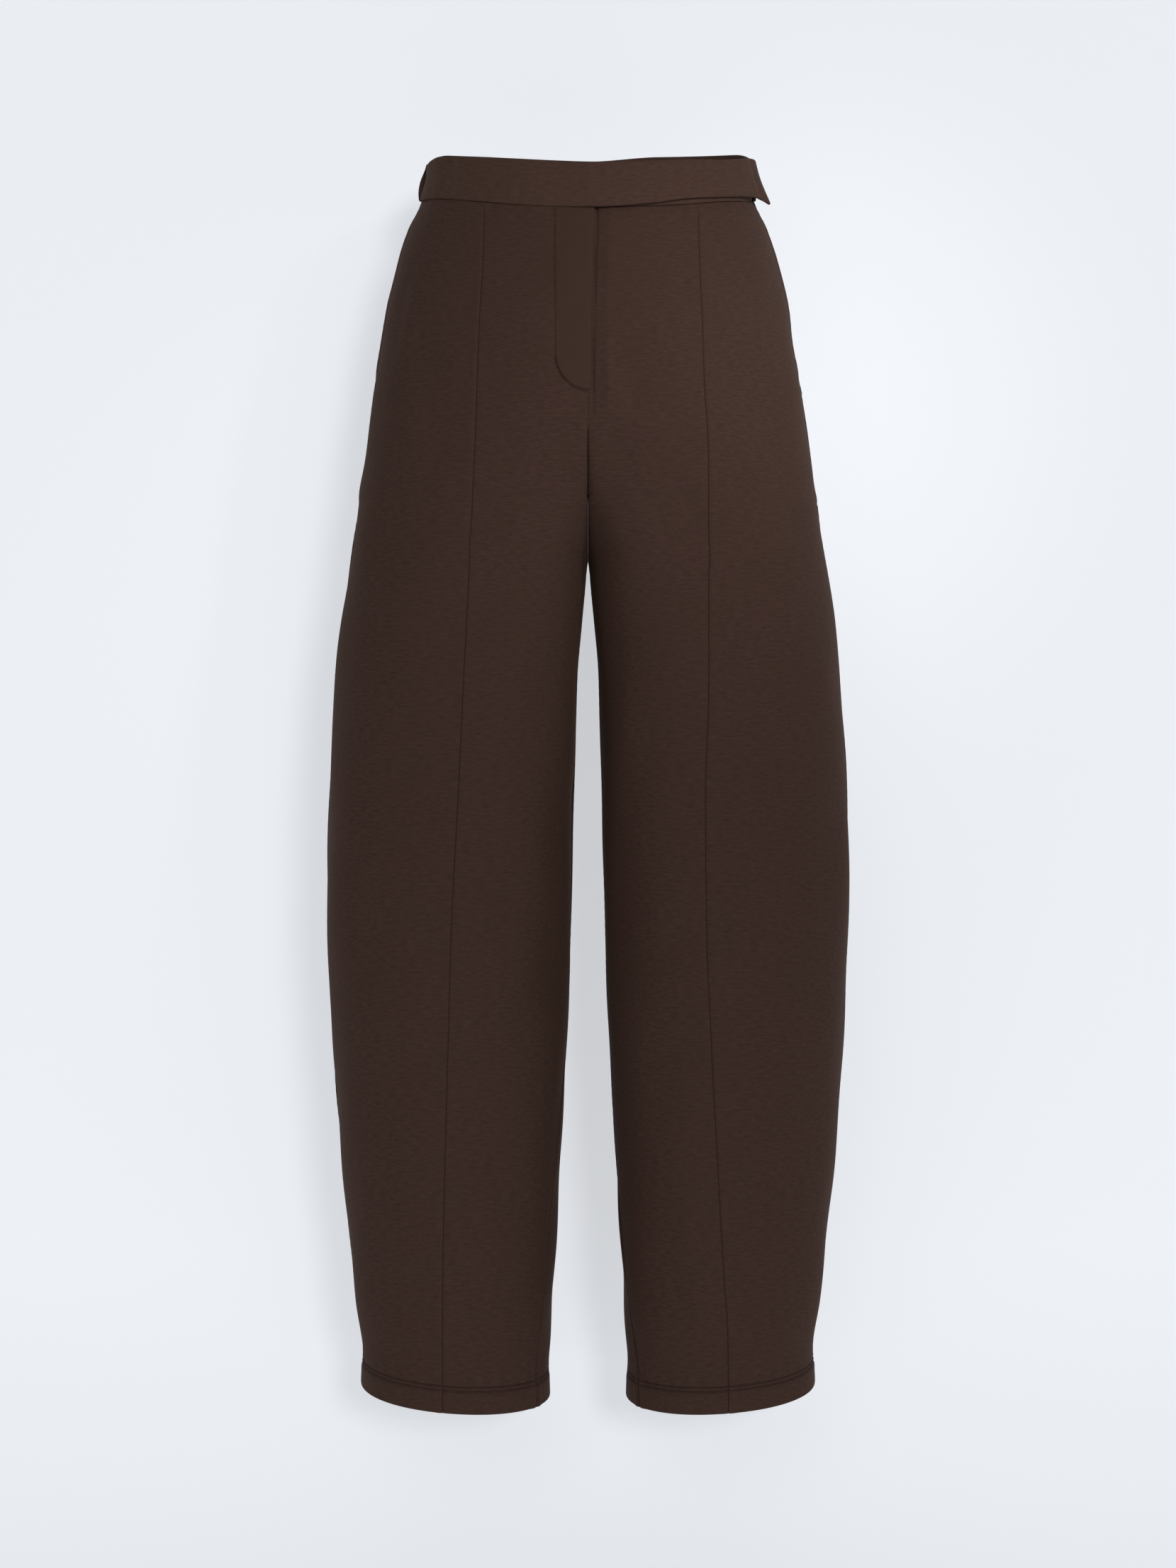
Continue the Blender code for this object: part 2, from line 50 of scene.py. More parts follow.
# Driving dimensions, the same as in the CAD part
CLOTH = 1.6            # one layer of heavy jersey
DOUBLE = 3.2           # two layers, in the waistband and the turned hem
GAP = 0.3              # clearance of the fly's lap and the pocket facings
HALF_GAP = 0.02        # the edges of a seam all but touch
CROTCH = -270.0
SEAT_TOP = -195.0
HEM = -1000.0
HEM_STITCHES = (-978.2, -981.4)    # twin-needle rows that hold the turned hem
HEM_INSIDE, HEM_FRONT = 0.07, 0.085
ROUNDNESS = 2.1
FRONT_SLOPE, BACK_SLOPE, BACK_LIFT = 0.227, 0.155, 3.5
FLY_END = -188.6
J_ACROSS, J_TURNS = 26.7, -158.0   # the fly's J stitch: how far from the middle, where it turns
J_FOOT = 1.4                       # and where it ends, past the middle
TURN = 26.0                        # columns are closer within this of the middle
POCKET_TOP, POCKET_END = -30.0, -170.0
POCKET_STAND = 2.2                  # the mouth's front edge stops this far before the side seam
POCKET_OPENS = 1.3                  # and stands out this far
STITCH_PITCH = 3.0

# How the waist and the bands are cut
WAIST = -20.0
PANEL_TOP = -20.3
BAND_TAPER = 0.00047                # share by which the band narrows for each mm of height
TAB_DEEP, UNDER_BAND_DEEP, BACK_BAND_DEEP = 36.0, 34.0, 37.0
BAND_OUT = 0.8                      # the band's face stands out past the panels' rings

# What the sewing does to the cloth, in mm
SEAM_RADIUS = 0.75
SEAM_PUCKER = 0.09
ROW_WIDE, ROW_DEEP = 0.75, 1.0
HEM_PUFF = 0.35
CROTCH_DRAWS_IN = 0.9
LEGS_TOUCH = 0.05                   # below the fly the two legs press together by this much

# How finely the cloth is drawn
SEAM_STEPS = (0.0, 0.1, 0.3, 0.7, 1.2, 1.9, 2.8, 4.0, 5.4, 7.2)
COLUMN, ROW = 4.2, 3.8

SECTION_COLUMNS = ("height", "outer", "inner", "front", "back", "middle", "corner")
SECTIONS = (
    (20, 135.0, -135.0, 96, 96, 0, 2.1),
    (-20, 137.6, -137.6, 97, 97, 0, 2.1),
    (-38, 144.7, -144.7, 99, 100, 0, 2.1),
    (-61, 152.6, -152.6, 101, 106, 0, 2.1),
    (-85, 158.7, -158.7, 103, 112, 0, 2.1),
    (-108, 164.0, -164.0, 105, 116, 0, 2.1),
    (-131, 168.0, -163.0, 106, 119, 0, 2.15),
    (-155, 172.2, -155.8, 106, 121, 0, 2.2),
    (-178, 176.0, -141.1, 105, 121, 0, 2.3),
    (-192, 177.9, -124.0, 104, 121, 1, 2.4),
    (-205, 179.7, -104.0, 103, 120, 2, 2.5),
    (-218, 181.5, -83.0, 102, 119, 3, 2.6),
    (-230, 183.2, -65.0, 101, 118, 4, 2.7),
    (-243, 185.1, -48.0, 100.5, 116.5, 5, 2.8),
    (-255, 186.9, -35.0, 100, 115, 6, 2.9),
    (-270, 189.2, -22.0, 99.5, 113, 7, 3.0),
    (-285, 191.2, -12.5, 99, 111, 7, 3.0),
    (-300, 193.4, -5.5, 99, 109, 6, 3.0),
    (-319, 196.1, 0.7, 99, 107, 5, 2.9),
    (-342, 199.3, 2.8, 99, 105, 4, 2.8),
    (-365, 202.5, 5.0, 99, 103, 3, 2.7),
    (-412, 207.3, 8.8, 99, 100, 0, 2.5),
    (-482, 211.6, 10.8, 98, 97, -3, 2.35),
    (-576, 214.3, 13.1, 97, 95, -4, 2.25),
    (-669, 212.2, 15.5, 96, 93, -1, 2.2),
    (-763, 206.7, 20.5, 92, 91, 3, 2.2),
    (-856, 198.7, 25.5, 87, 86, 7, 2.2),
    (-927, 191.7, 29.5, 82, 81, 10, 2.15),
    (-973, 185.9, 32.7, 78, 78, 11, 2.1),
    (-982, 186.6, 32.2, 78, 78, 11, 2.1),
    (-1000, 187.3, 31.6, 77, 77, 11, 2.1),
)

SEAM_COLUMNS = ("height", "seam_right", "seam_left", "roll_right", "roll_left")
SEAMS = (
    (20, 83, 88, 0, 0),
    (-40, 83.5, 88.5, 0, 0),
    (-150, 87.5, 91.8, 0, 0),
    (-260, 91.5, 95.8, 0, 0),
    (-420, 98.8, 95.6, 0, 0),
    (-510, 103.0, 92.8, 0, 0),
    (-615, 108.4, 93.8, 0, 0),
    (-690, 110.7, 97.0, 0, 0),
    (-790, 113.8, 102.4, 15, 0),
    (-886, 116.2, 108.2, 25, 14),
    (-945, 116.8, 112.4, 29, 24),
    (-1000, 116.8, 112.8, 31, 31),
)

WAIST_SEAM_COLUMNS = ("across", "height")
WAIST_SEAM = (
    (-138, -20.0), (-124, -16.4), (-103, -15.8), (-90, -16.8), (-41, -19.2), (0, -20.3),
    (60, -19.5), (85, -18.8), (107, -17.8), (119, -18.0), (138, -20.4),
)

LAP_COLUMNS = ("height", "lap")
LAP = ((-194, -0.15), (-188, 2.0), (-100, 3.2), (-15, 5.3))

TAB_COLUMNS = ("along", "foot", "top", "out_foot", "out_top")
TAB = (
    (-186, -19.8, 9.5, 0.8, -2.8),
    (-171, -18.4, 12.5, 0.8, -2.6),
    (-141, -16.0, 18.2, 0.8, -0.6),
    (-127, -15.4, 19.5, 0.8, 0.4),
    (-94, -16.4, 19.2, 0.8, 0.8),
    (-61, -18.2, 18.2, 0.8, 0.8),
    (-25, -19.7, 16.8, 0.8, 0.8),
    (4, -19.9, 16.0, 2.6, 2.6),
    (50, -17.2, 16.5, 2.6, 2.6),
    (88, -13.8, 17.0, 2.6, 2.6),
    (118, -13.6, 16.4, 2.6, 2.6),
    (150, -14.6, 16.6, 2.8, 2.6),
    (168, -16.5, 16.2, 3.4, 2.6),
    (186, -22.5, 15.0, 4.0, 2.6),
)
TAB_LEAVES = 150.0
TAB_TOP_HOLD = 0.9
TAB_TOP_SHORT = 10.0
TAB_CREASE = 1.2
UNDER_BAND_OUT = -1.1
BACK_BAND_DROP = {"right": 6.0, "left": 1.5}
BACK_BAND_BULGE = {"right": 1.7, "left": 0.3}
BACK_BAND_LEAN = 1.9

# The largest folds, as in the CAD part, and the finer creases of the cloth. Each runs from
# one point to another on one side of a leg: x is the distance from the middle plane.
# depth: in for a trough, out (negative) for a ridge.
FOLD_COLUMNS = ("leg", "face", "x1", "z1", "x2", "z2", "width", "depth")
FOLDS = (
    ("left", "front", 16, -112, 36, -190, 13, 1.8),
    ("left", "front", 155, -142, 108, -178, 20, 2.0),
    ("left", "front", 128, -60, 140, -120, 16, -1.4),
    ("left", "front", 20, -232, 78, -286, 16, 2.0),
    ("left", "front", 101, -780, 119, -940, 17, 1.8),
    ("left", "front", 45, -640, 95, -610, 18, 1.6),
    ("right", "front", 137, -92, 150, -165, 7, -1.2),
    ("right", "front", 126, -150, 122, -235, 16, 2.0),
    ("right", "front", 16, -196, 72, -270, 15, -1.6),
    ("right", "front", 24, -225, 84, -292, 15, 2.0),
    ("right", "front", 17, -510, 31, -662, 14, 2.6),
    ("right", "front", 86, -712, 34, -680, 15, 1.8),
    ("right", "front", 80, -854, 58, -838, 14, 1.4),
    ("left", "back", 14, -255, 88, -306, 15, 2.8),
    ("left", "back", 26, -292, 104, -334, 16, 2.2),
    ("left", "back", 52, -604, 128, -580, 17, 2.2),
    ("left", "back", 60, -664, 140, -700, 18, 1.8),
    ("left", "back", 96, -800, 112, -930, 18, 1.8),
    ("right", "back", 14, -258, 92, -300, 15, 2.8),
    ("right", "back", 28, -298, 98, -342, 16, 2.2),
    ("right", "back", 48, -588, 120, -612, 17, 2.2),
    ("right", "back", 66, -690, 146, -668, 18, 1.8),
    ("right", "back", 104, -790, 92, -920, 18, 1.8),
)
CREASES = (
    ("right", "front", 140, -96, 152, -160, 5, -0.7),
    ("right", "front", 143, -66, 158, -104, 6, -0.5),
    ("right", "front", 44, -246, 96, -330, 9, -0.7),
    ("right", "front", 8, -250, 40, -308, 7, 0.9),
    ("right", "front", 30, -282, 66, -356, 9, 0.6),
    ("right", "front", 150, -232, 168, -330, 12, 0.6),
    ("right", "front", 24, -420, 40, -500, 9, -0.6),
    ("right", "front", 60, -590, 110, -566, 10, 0.7),
    ("right", "front", 120, -640, 176, -620, 12, 0.7),
    ("right", "front", 48, -742, 92, -770, 9, -0.7),
    ("right", "front", 130, -722, 180, -742, 11, 0.6),
    ("right", "front", 176, -790, 184, -872, 9, -0.9),
    ("right", "front", 62, -884, 86, -952, 9, 0.6),
    ("right", "front", 132, -880, 140, -960, 10, 0.5),
    ("left", "front", 12, -150, 26, -206, 6, -0.6),
    ("left", "front", 134, -150, 96, -170, 9, -0.7),
    ("left", "front", 8, -246, 38, -300, 7, 0.9),
    ("left", "front", 44, -250, 96, -320, 10, -0.7),
    ("left", "front", 150, -214, 166, -300, 12, 0.6),
    ("left", "front", 30, -430, 24, -520, 9, -0.6),
    ("left", "front", 54, -660, 110, -640, 10, -0.6),
    ("left", "front", 120, -600, 180, -622, 12, 0.7),
    ("left", "front", 46, -726, 84, -700, 10, 0.6),
    ("left", "front", 140, -760, 176, -784, 11, 0.5),
    ("left", "front", 60, -830, 74, -930, 10, 0.6),
    ("left", "front", 148, -850, 154, -950, 10, -0.5),
    ("left", "back", 20, -244, 60, -280, 8, -0.8),
    ("left", "back", 120, -150, 150, -230, 14, 0.8),
    ("left", "back", 44, -316, 120, -372, 11, -0.7),
    ("left", "back", 30, -560, 100, -560, 10, 0.8),
    ("left", "back", 70, -632, 150, -640, 10, -0.8),
    ("left", "back", 130, -860, 146, -950, 11, 0.6),
    ("right", "back", 20, -246, 64, -278, 8, -0.8),
    ("right", "back", 118, -156, 146, -236, 14, 0.8),
    ("right", "back", 40, -322, 112, -378, 11, -0.7),
    ("right", "back", 36, -548, 108, -566, 10, 0.8),
    ("right", "back", 76, -640, 150, -628, 10, -0.8),
    ("right", "back", 134, -850, 140, -948, 11, 0.6),
)

# Slow waves of the whole cloth: lengths across and down, where it starts and its height
WAVE_COLUMNS = ("across", "down", "start", "height")
WAVES = (
    (96, 310, 0.4, 0.42), (-143, 190, 1.9, 0.38), (61, -270, 3.3, 0.22),
    (210, 118, 5.1, 0.30), (-74, 92, 0.9, 0.12),
)

# The panels: which leg, which seams they run between
PANEL_COLUMNS = ("name", "leg", "from_seam", "to_seam")
PANELS = (
    ("front_centre_right", "right", "centre", "front_seam"),
    ("front_centre_left", "left", "centre", "front_seam"),
    ("front_side_right", "right", "front_seam", "side"),
    ("front_side_left", "left", "front_seam", "side"),
    ("back_right", "right", "side", "centre_back"),
    ("back_left", "left", "side", "centre_back"),
)


def smooth_curve(table, names, name, at):
    """Values of a table's column at places in its first column, with no overshoot."""
    rows = np.array(sorted(table), float)
    xs, ys = rows[:, 0], rows[:, names.index(name)]
    gaps = np.diff(xs)
    slopes = np.diff(ys) / gaps
    tangents = np.zeros(len(xs))
    tangents[0], tangents[-1] = slopes[0], slopes[-1]
    for i in range(1, len(xs) - 1):
        if slopes[i - 1] * slopes[i] > 0:
            tangents[i] = 2 * slopes[i - 1] * slopes[i] / (slopes[i - 1] + slopes[i])
    at = np.clip(at, xs[0], xs[-1])
    i = np.clip(np.searchsorted(xs, at) - 1, 0, len(gaps) - 1)
    t = (at - xs[i]) / gaps[i]
    rise = ys[i] * (2 * t**3 - 3 * t**2 + 1) + ys[i + 1] * (3 * t**2 - 2 * t**3)
    bend = tangents[i] * (t**3 - 2 * t**2 + t) + tangents[i + 1] * (t**3 - t**2)
    return rise + gaps[i] * bend


def ease(value, start, end):
    """0 before start, 1 past end, smooth between; start may be the larger."""
    t = np.clip((value - start) / (end - start), 0.0, 1.0)
    return t * t * (3 - 2 * t)


def bump(value, middle, width):
    """A soft ridge of height 1."""
    return np.exp(-((value - middle) / width) ** 2)


class Ring:
    """One leg's section at a height, from the centre front round the side to the back."""

    SAMPLES = 541

    def __init__(self, leg, height, lap=0.0):
        get = {name: float(smooth_curve(SECTIONS, SECTION_COLUMNS, name, height))
               for name in SECTION_COLUMNS[1:]}
        roll = math.radians(smooth_curve(SEAMS, SEAM_COLUMNS, "roll_" + leg, height))
        seam_x = float(smooth_curve(SEAMS, SEAM_COLUMNS, "seam_" + leg, height))
        centre = (get["outer"] + get["inner"]) / 2
        half = (get["outer"] - get["inner"]) / 2
        corner = get["corner"]
        if height > CROTCH:
            seat = self.seat_angle(height, corner)
            start = min(seat, self.angle_at(HALF_GAP - lap, centre, half, corner))
            end = math.tau - min(seat, self.angle_at(HALF_GAP, centre, half, corner))
        else:
            start, end = roll, math.tau + roll
        angles = np.linspace(start, end, self.SAMPLES)
        cos, sin = np.cos(angles), np.sin(angles)
        power = 2 / np.where(cos > 0, corner, ROUNDNESS)
        self.x = centre - half * np.sign(cos) * np.abs(cos) ** power
        self.x = np.maximum(self.x, HALF_GAP - lap)
        depth = np.where(sin > 0, get["front"], get["back"])
        self.y = get["middle"] - depth * np.sign(sin) * np.abs(sin) ** power
        steps = np.hypot(np.diff(self.x), np.diff(self.y))
        self.along = np.concatenate([[0.0], np.cumsum(steps)])
        tx, ty = np.gradient(self.x, self.along), np.gradient(self.y, self.along)
        length = np.hypot(tx, ty)
        self.nx, self.ny = ty / length, -tx / length
        front = np.interp(self.angle_at(seam_x, centre, half, corner), angles, self.along)
        side = np.interp(math.pi, angles, self.along)
        self.seams = {"centre": 0.0, "front_seam": float(front), "side": float(side),
                      "centre_back": float(self.along[-1])}
        turn = self.angle_at(max(0.0, get["inner"]) + TURN, centre, half, corner)
        self.turns = {"centre": float(np.interp(turn, angles, self.along)),
                      "centre_back": float(np.interp(math.tau - turn, angles, self.along))}

    @staticmethod
    def angle_at(x, centre, half, corner):
        """The ring's angle where its front half reaches x."""
        share = max(-1.0, min(1.0, (centre - x) / half))
        exponent = corner if share > 0 else ROUNDNESS
        return math.acos(math.copysign(abs(share) ** (exponent / 2), share))

    @staticmethod
    def seat_angle(height, corner):
        """The ring's angle where the seat seam crosses it, between the legs."""
        if height > SEAT_TOP:
            return math.pi / 2
        share = math.sqrt(max(0.0, 1 - ((SEAT_TOP - height) / (SEAT_TOP - CROTCH)) ** 2))
        return math.asin(share ** (corner / 2))

    def at(self, along, out=0.0):
        """x and y at ways along the ring, moved out from its face."""
        x, y, nx, ny = (np.interp(along, self.along, v)
                        for v in (self.x, self.y, self.nx, self.ny))
        return x + nx * out, y + ny * out


@functools.lru_cache(maxsize=None)
def ring_at(leg, height):
    """A leg's ring at a height, kept for the many stitches that lie on it."""
    return Ring(leg, height)


WAIST_RINGS = {leg: ring_at(leg, WAIST) for leg in ("right", "left")}


def waist_tilt(x, y):
    """Rise of the waist at a place in plan: down to the front, up to the back."""
    back = BACK_SLOPE * y + BACK_LIFT * ease(x, 0, 60) * ease(y, 0, 40)
    return np.where(y < 0, FRONT_SLOPE * y, back)


def level(height, x, y):
    """Height of a ring's point: tilted at the waist, and lower inside and in front at the hem."""
    tilt = waist_tilt(x, y) * ease(height, -150, -20)
    drop = HEM_INSIDE * (abs(x) - 110) + HEM_FRONT * np.minimum(y - 11, 0)
    return height + tilt + drop * ease(height, -850, -1000)


def fold_offset(leg, face, x, z):
    """How far folds and creases move the cloth's face out at points of a leg."""
    total = np.zeros_like(x)
    for row in FOLDS + CREASES:
        fold = dict(zip(FOLD_COLUMNS, row))
        if fold["leg"] != leg or fold["face"] != face:
            continue
        ax, az, bx, bz = fold["x1"], fold["z1"], fold["x2"], fold["z2"]
        length2 = (bx - ax) ** 2 + (bz - az) ** 2
        t = np.clip(((x - ax) * (bx - ax) + (z - az) * (bz - az)) / length2, 0, 1)
        off = np.hypot(x - ax - t * (bx - ax), z - az - t * (bz - az))
        total -= fold["depth"] * np.exp(-(off / fold["width"]) ** 2)
    return total


def slow_waves(leg, across, down):
    """The gentle unevenness of cloth that hangs."""
    shift = 0.0 if leg == "left" else 1.7
    total = np.zeros_like(across)
    for row in WAVES:
        wave = dict(zip(WAVE_COLUMNS, row))
        phase = across / wave["across"] + down / wave["down"]
        total += wave["height"] * np.sin(math.tau * phase + wave["start"] + shift)
    return total


def fly_inset(x, height):
    """The left front lies under the right one at the fly."""
    step = (CLOTH + GAP + 0.5) * ease(x, 18, 7)
    # The lap's edge leans away from the middle towards the waist
    edge = 3.6 + 0.018 * (height - FLY_END)
    beside_edge = bump(x, edge, 1.5)
    return (step + 1.8 * beside_edge) * ease(height, -213, -195)


def cloth_fold(leg, is_front, ways, x, height):
    """How far folds, creases and slow waves move the cloth's face out, and the fly's step."""
    fold = fold_offset(leg, "front" if is_front else "back", x, height)
    fold += slow_waves(leg, ways if is_front else ways + 40, height)
    fold *= ease(x, 0, 22) * ease(height, -985, -950) * ease(height, -26, -60)
    if leg == "left" and is_front:
        fold -= fly_inset(x, height)
    return fold


def pocket_mouth(height):
    """1 along the pocket mouth, 0 beyond its two ends."""
    return ease(height, POCKET_TOP, POCKET_TOP - 12) * ease(height, POCKET_END, POCKET_END + 14)


def j_distance(x, z):
    """How far a point of the right front lies inside the fly's J stitch."""
    wide, deep = J_ACROSS + J_FOOT, J_TURNS - FLY_END
    round_part = (1 - np.hypot((x + J_FOOT) / wide, (z - J_TURNS) / deep)) * (wide + deep) / 2
    return np.where(z > J_TURNS, J_ACROSS - x, round_part)


def seam_relief(distance, along, ridge, pucker):
    """A seam's edge: rounded over at the seam, with the allowance showing as a low ridge."""
    near = SEAM_RADIUS - np.clip(distance, 0, SEAM_RADIUS)
    edge = np.sqrt(SEAM_RADIUS**2 - near**2) - SEAM_RADIUS
    allowance = ridge * ease(distance, 0.2, 1.8) * ease(distance, 7.6, 4.6)
    wave = np.sin(along * 0.74 + 1.3 * np.sin(along * 0.113))
    wave *= 0.7 + 0.3 * np.sin(along * 0.041 + 1.0)
    puckers = pucker * wave * ease(distance, 9.0, 0.5)
    return edge + allowance + puckers - 0.2 * ease(distance, 2.5, 0.0)


def hem_relief(height, along):
    """Two stitch grooves, the puffed turn-up below them and small puckers."""
    grooves = ROW_DEEP * sum(bump(height, row, ROW_WIDE) for row in HEM_STITCHES)
    puff = HEM_PUFF * ease(height, HEM_STITCHES[1], HEM_STITCHES[1] - 4)
    wave = np.sin(along * 0.78 + 1.1 * np.sin(along * 0.09))
    return puff - grooves + 0.18 * wave * bump(height, -980, 8)


def crotch_crease(rings, ways, heights):
    """Rounds the cloth off where it turns in between the legs, below the fly."""
    total = np.zeros_like(ways)
    for i, (ring, height) in enumerate(zip(rings, heights)):
        if not -345 < height < SEAT_TOP:
            continue
        free = np.flatnonzero(ring.x > ring.x.min() + 0.05)
        for corner in (ring.along[free[0]], ring.along[free[-1]]):
            total[i] -= CROTCH_DRAWS_IN * bump(ways[i], corner, 2.4)
        total[i] *= ease(height, SEAT_TOP, SEAT_TOP - 20) * ease(height, -345, -325)
    return total


def panel_heights(name):
    """Heights of a panel's rows, closer at its top, the hem and, on one, the fly's end."""
    rows = [PANEL_TOP + step for step in (2.4, 1.2, 0.5)]
    rows += [PANEL_TOP - step for step in SEAM_STEPS[:-1]]
    rows += list(np.arange(PANEL_TOP - SEAM_STEPS[-1], -965, -ROW))
    rows += list(np.arange(-965, -974, -1.6)) + list(np.arange(-974.5, -985.5, -0.55))
    rows += list(np.arange(-987, HEM + 3, -2.2))
    rows += [HEM + step for step in (2.2, 1.6, 1.0, 0.5, 0.2, 0)]
    if name == "front_centre_right":
        rows = [h for h in rows if not -196 < h < -150] + list(np.arange(-150, -196, -0.8))
    return np.array(sorted(set(np.round(rows, 3)), reverse=True))


def column_ways(spec, start, end, turn):
    """Ways of a panel's columns on each row: close at its seams, even between them."""
    steps = np.array(SEAM_STEPS)
    first = start[:, None] + steps
    last = (end[:, None] - steps)[:, ::-1]
    a, b = first[:, -1:], last[:, :1]
    if turn is None:
        count = int(np.ceil((b - a).max() / COLUMN))
        share = np.linspace(0, 1, count + 1)[1:-1]
        return np.hstack([first, a + (b - a) * share, last])
    mid = turn[:, None]
    fine = {"front_centre_right": 0.75, "front_centre_left": 1.3}.get(spec["name"], 2.0)
    short, long = (mid - a, b - mid) if spec["from_seam"] == "centre" else (b - mid, mid - a)
    near_turn = int(np.ceil(np.percentile(short, 60) / fine))
    others = int(np.ceil(np.max(long) / COLUMN))
    counts = (near_turn, others) if spec["from_seam"] == "centre" else (others, near_turn)
    left = a + (mid - a) * np.linspace(0, 1, counts[0] + 1)[1:]
    right = mid + (b - mid) * np.linspace(0, 1, counts[1] + 1)[1:-1]
    return np.hstack([first, left, right, last])


def closed_wall(name, outer, inner, uv, material, flip):
    """A closed body between two grids of points, with a map of the cloth in metres."""
    rows, wide = outer.shape[:2]
    count = rows * wide
    points = np.concatenate([outer.reshape(-1, 3), inner.reshape(-1, 3)]) * MM
    index = np.arange(count).reshape(rows, wide)
    quads = np.stack([index[:-1, :-1], index[1:, :-1], index[1:, 1:], index[:-1, 1:]], -1)
    face = quads.reshape(-1, 4)
    back = face[:, ::-1] + count
    edges = np.concatenate([index[0, :], index[1:, -1], index[-1, -2::-1], index[-2:0:-1, 0]])
    turned = np.roll(edges, -1)
    rim = np.stack([edges, turned, turned + count, edges + count], -1)
    faces = np.concatenate([face, back, rim])
    if flip:
        faces = faces[:, ::-1]
    mesh = bpy.data.meshes.new(name)
    mesh.vertices.add(len(points))
    mesh.vertices.foreach_set("co", points.astype(np.float32).ravel())
    mesh.loops.add(faces.size)
    mesh.loops.foreach_set("vertex_index", faces.astype(np.int32).ravel())
    mesh.polygons.add(len(faces))
    mesh.polygons.foreach_set("loop_start", np.arange(0, faces.size, 4, dtype=np.int32))
    mesh.update(calc_edges=True)
    cloth_map = mesh.uv_layers.new(name="cloth")
    flat = np.concatenate([uv.reshape(-1, 2), uv.reshape(-1, 2)]) * MM
    cloth_map.data.foreach_set("uv", flat[faces.ravel()].astype(np.float32).ravel())
    mesh.validate()
    mesh.materials.append(material)
    piece = bpy.data.objects.new(name, mesh)
    bpy.context.scene.collection.objects.link(piece)
    mesh.shade_smooth()
    bpy.context.view_layer.objects.active = piece
    piece.select_set(True)
    bpy.ops.object.shade_smooth_by_angle(angle=math.radians(50))
    piece.select_set(False)
    return piece


def panel_laps(name, heights):
    """How far a panel reaches past the middle: only the right front does, at the fly."""
    if name != "front_centre_right":
        return np.zeros(len(heights))
    laps = np.where(heights > LAP[0][0], smooth_curve(LAP, LAP_COLUMNS, "lap", heights), 0.0)
    return np.maximum(0.0, laps)


def panel_ends(spec, heights, rings):
    """Where a panel starts and ends along each of its rings."""
    start = np.array([ring.seams[spec["from_seam"]] for ring in rings])
    end = np.array([ring.seams[spec["to_seam"]] for ring in rings])
    apart = heights <= CROTCH
    start += HALF_GAP * (apart | (spec["from_seam"] != "centre"))
    end -= HALF_GAP * (apart | (spec["to_seam"] != "centre_back"))
    if spec["to_seam"] == "side":
        end -= POCKET_STAND * pocket_mouth(heights)
    return start, end


def panel_relief(spec, ways, x, z, to_start, to_end):
    """What the sewing does to a panel's face: at its seams, pocket, waist, hem and fly."""
    is_front = spec["to_seam"] != "centre_back"
    lies_left = is_front and spec["leg"] == "left"
    ridge_from = 0.45 if spec["from_seam"] == "front_seam" else 0.12
    ridge_to = 0.10 if spec["to_seam"] == "front_seam" else 0.25
    sewn = ease(z, -24, -30)
    out = seam_relief(to_start, z, ridge_from, SEAM_PUCKER) * sewn
    out += seam_relief(to_end, z + 30, ridge_to, SEAM_PUCKER) * sewn
    if spec["to_seam"] == "side":
        out += POCKET_OPENS * pocket_mouth(z) * ease(to_end, 9, 0)
    # The top goes in behind the band, and further under the tab
    tucked = 2.4 if lies_left else 1.5
    out -= 0.5 * ease(z, -23.0, PANEL_TOP) + (tucked - 0.5) * ease(z, -20.4, -19.6)
    if lies_left:
        out -= 1.4 * ease(z, -27, -21) * ease(x, 148, 138)
    out += 0.14 * np.sin(ways * 0.66 + 1.2 * np.sin(ways * 0.07)) * ease(z, -42, -22)
    out += hem_relief(z, ways)
    if spec["from_seam"] != "front_seam":
        # The inseam draws in along the leg, and its allowances stand out where the hem turns
        inseam = to_start if is_front else to_end
        out -= 1.2 * bump(inseam, 0, 1.0) * ease(z, -300, -420)
        out += 0.9 * bump(inseam, 3.5, 4.0) * ease(z, -972, -980)
    if spec["name"] == "front_centre_right":
        inside = j_distance(x, z)
        groove = 0.9 + 0.7 * ease(z, J_TURNS + 10, J_TURNS - 18)
        puffed = 0.35 * ease(inside, 0.2, 2.2)
        out += (puffed - groove * bump(inside, 0, 0.9)) * ease(x, -6, -2)
    return out


def settled(leg, is_front, x, y, ring_height):
    """Points of a ring as they hang: on their side, up to the waist seam, and tilted."""
    across = x if leg == "left" else -x
    height = np.full_like(x, ring_height)
    if is_front:
        seam = smooth_curve(WAIST_SEAM, WAIST_SEAM_COLUMNS, "height", across)
        height = height + (seam - WAIST) * ease(ring_height, -75, PANEL_TOP)
    return np.stack([across, y, level(height, across, y)], -1)


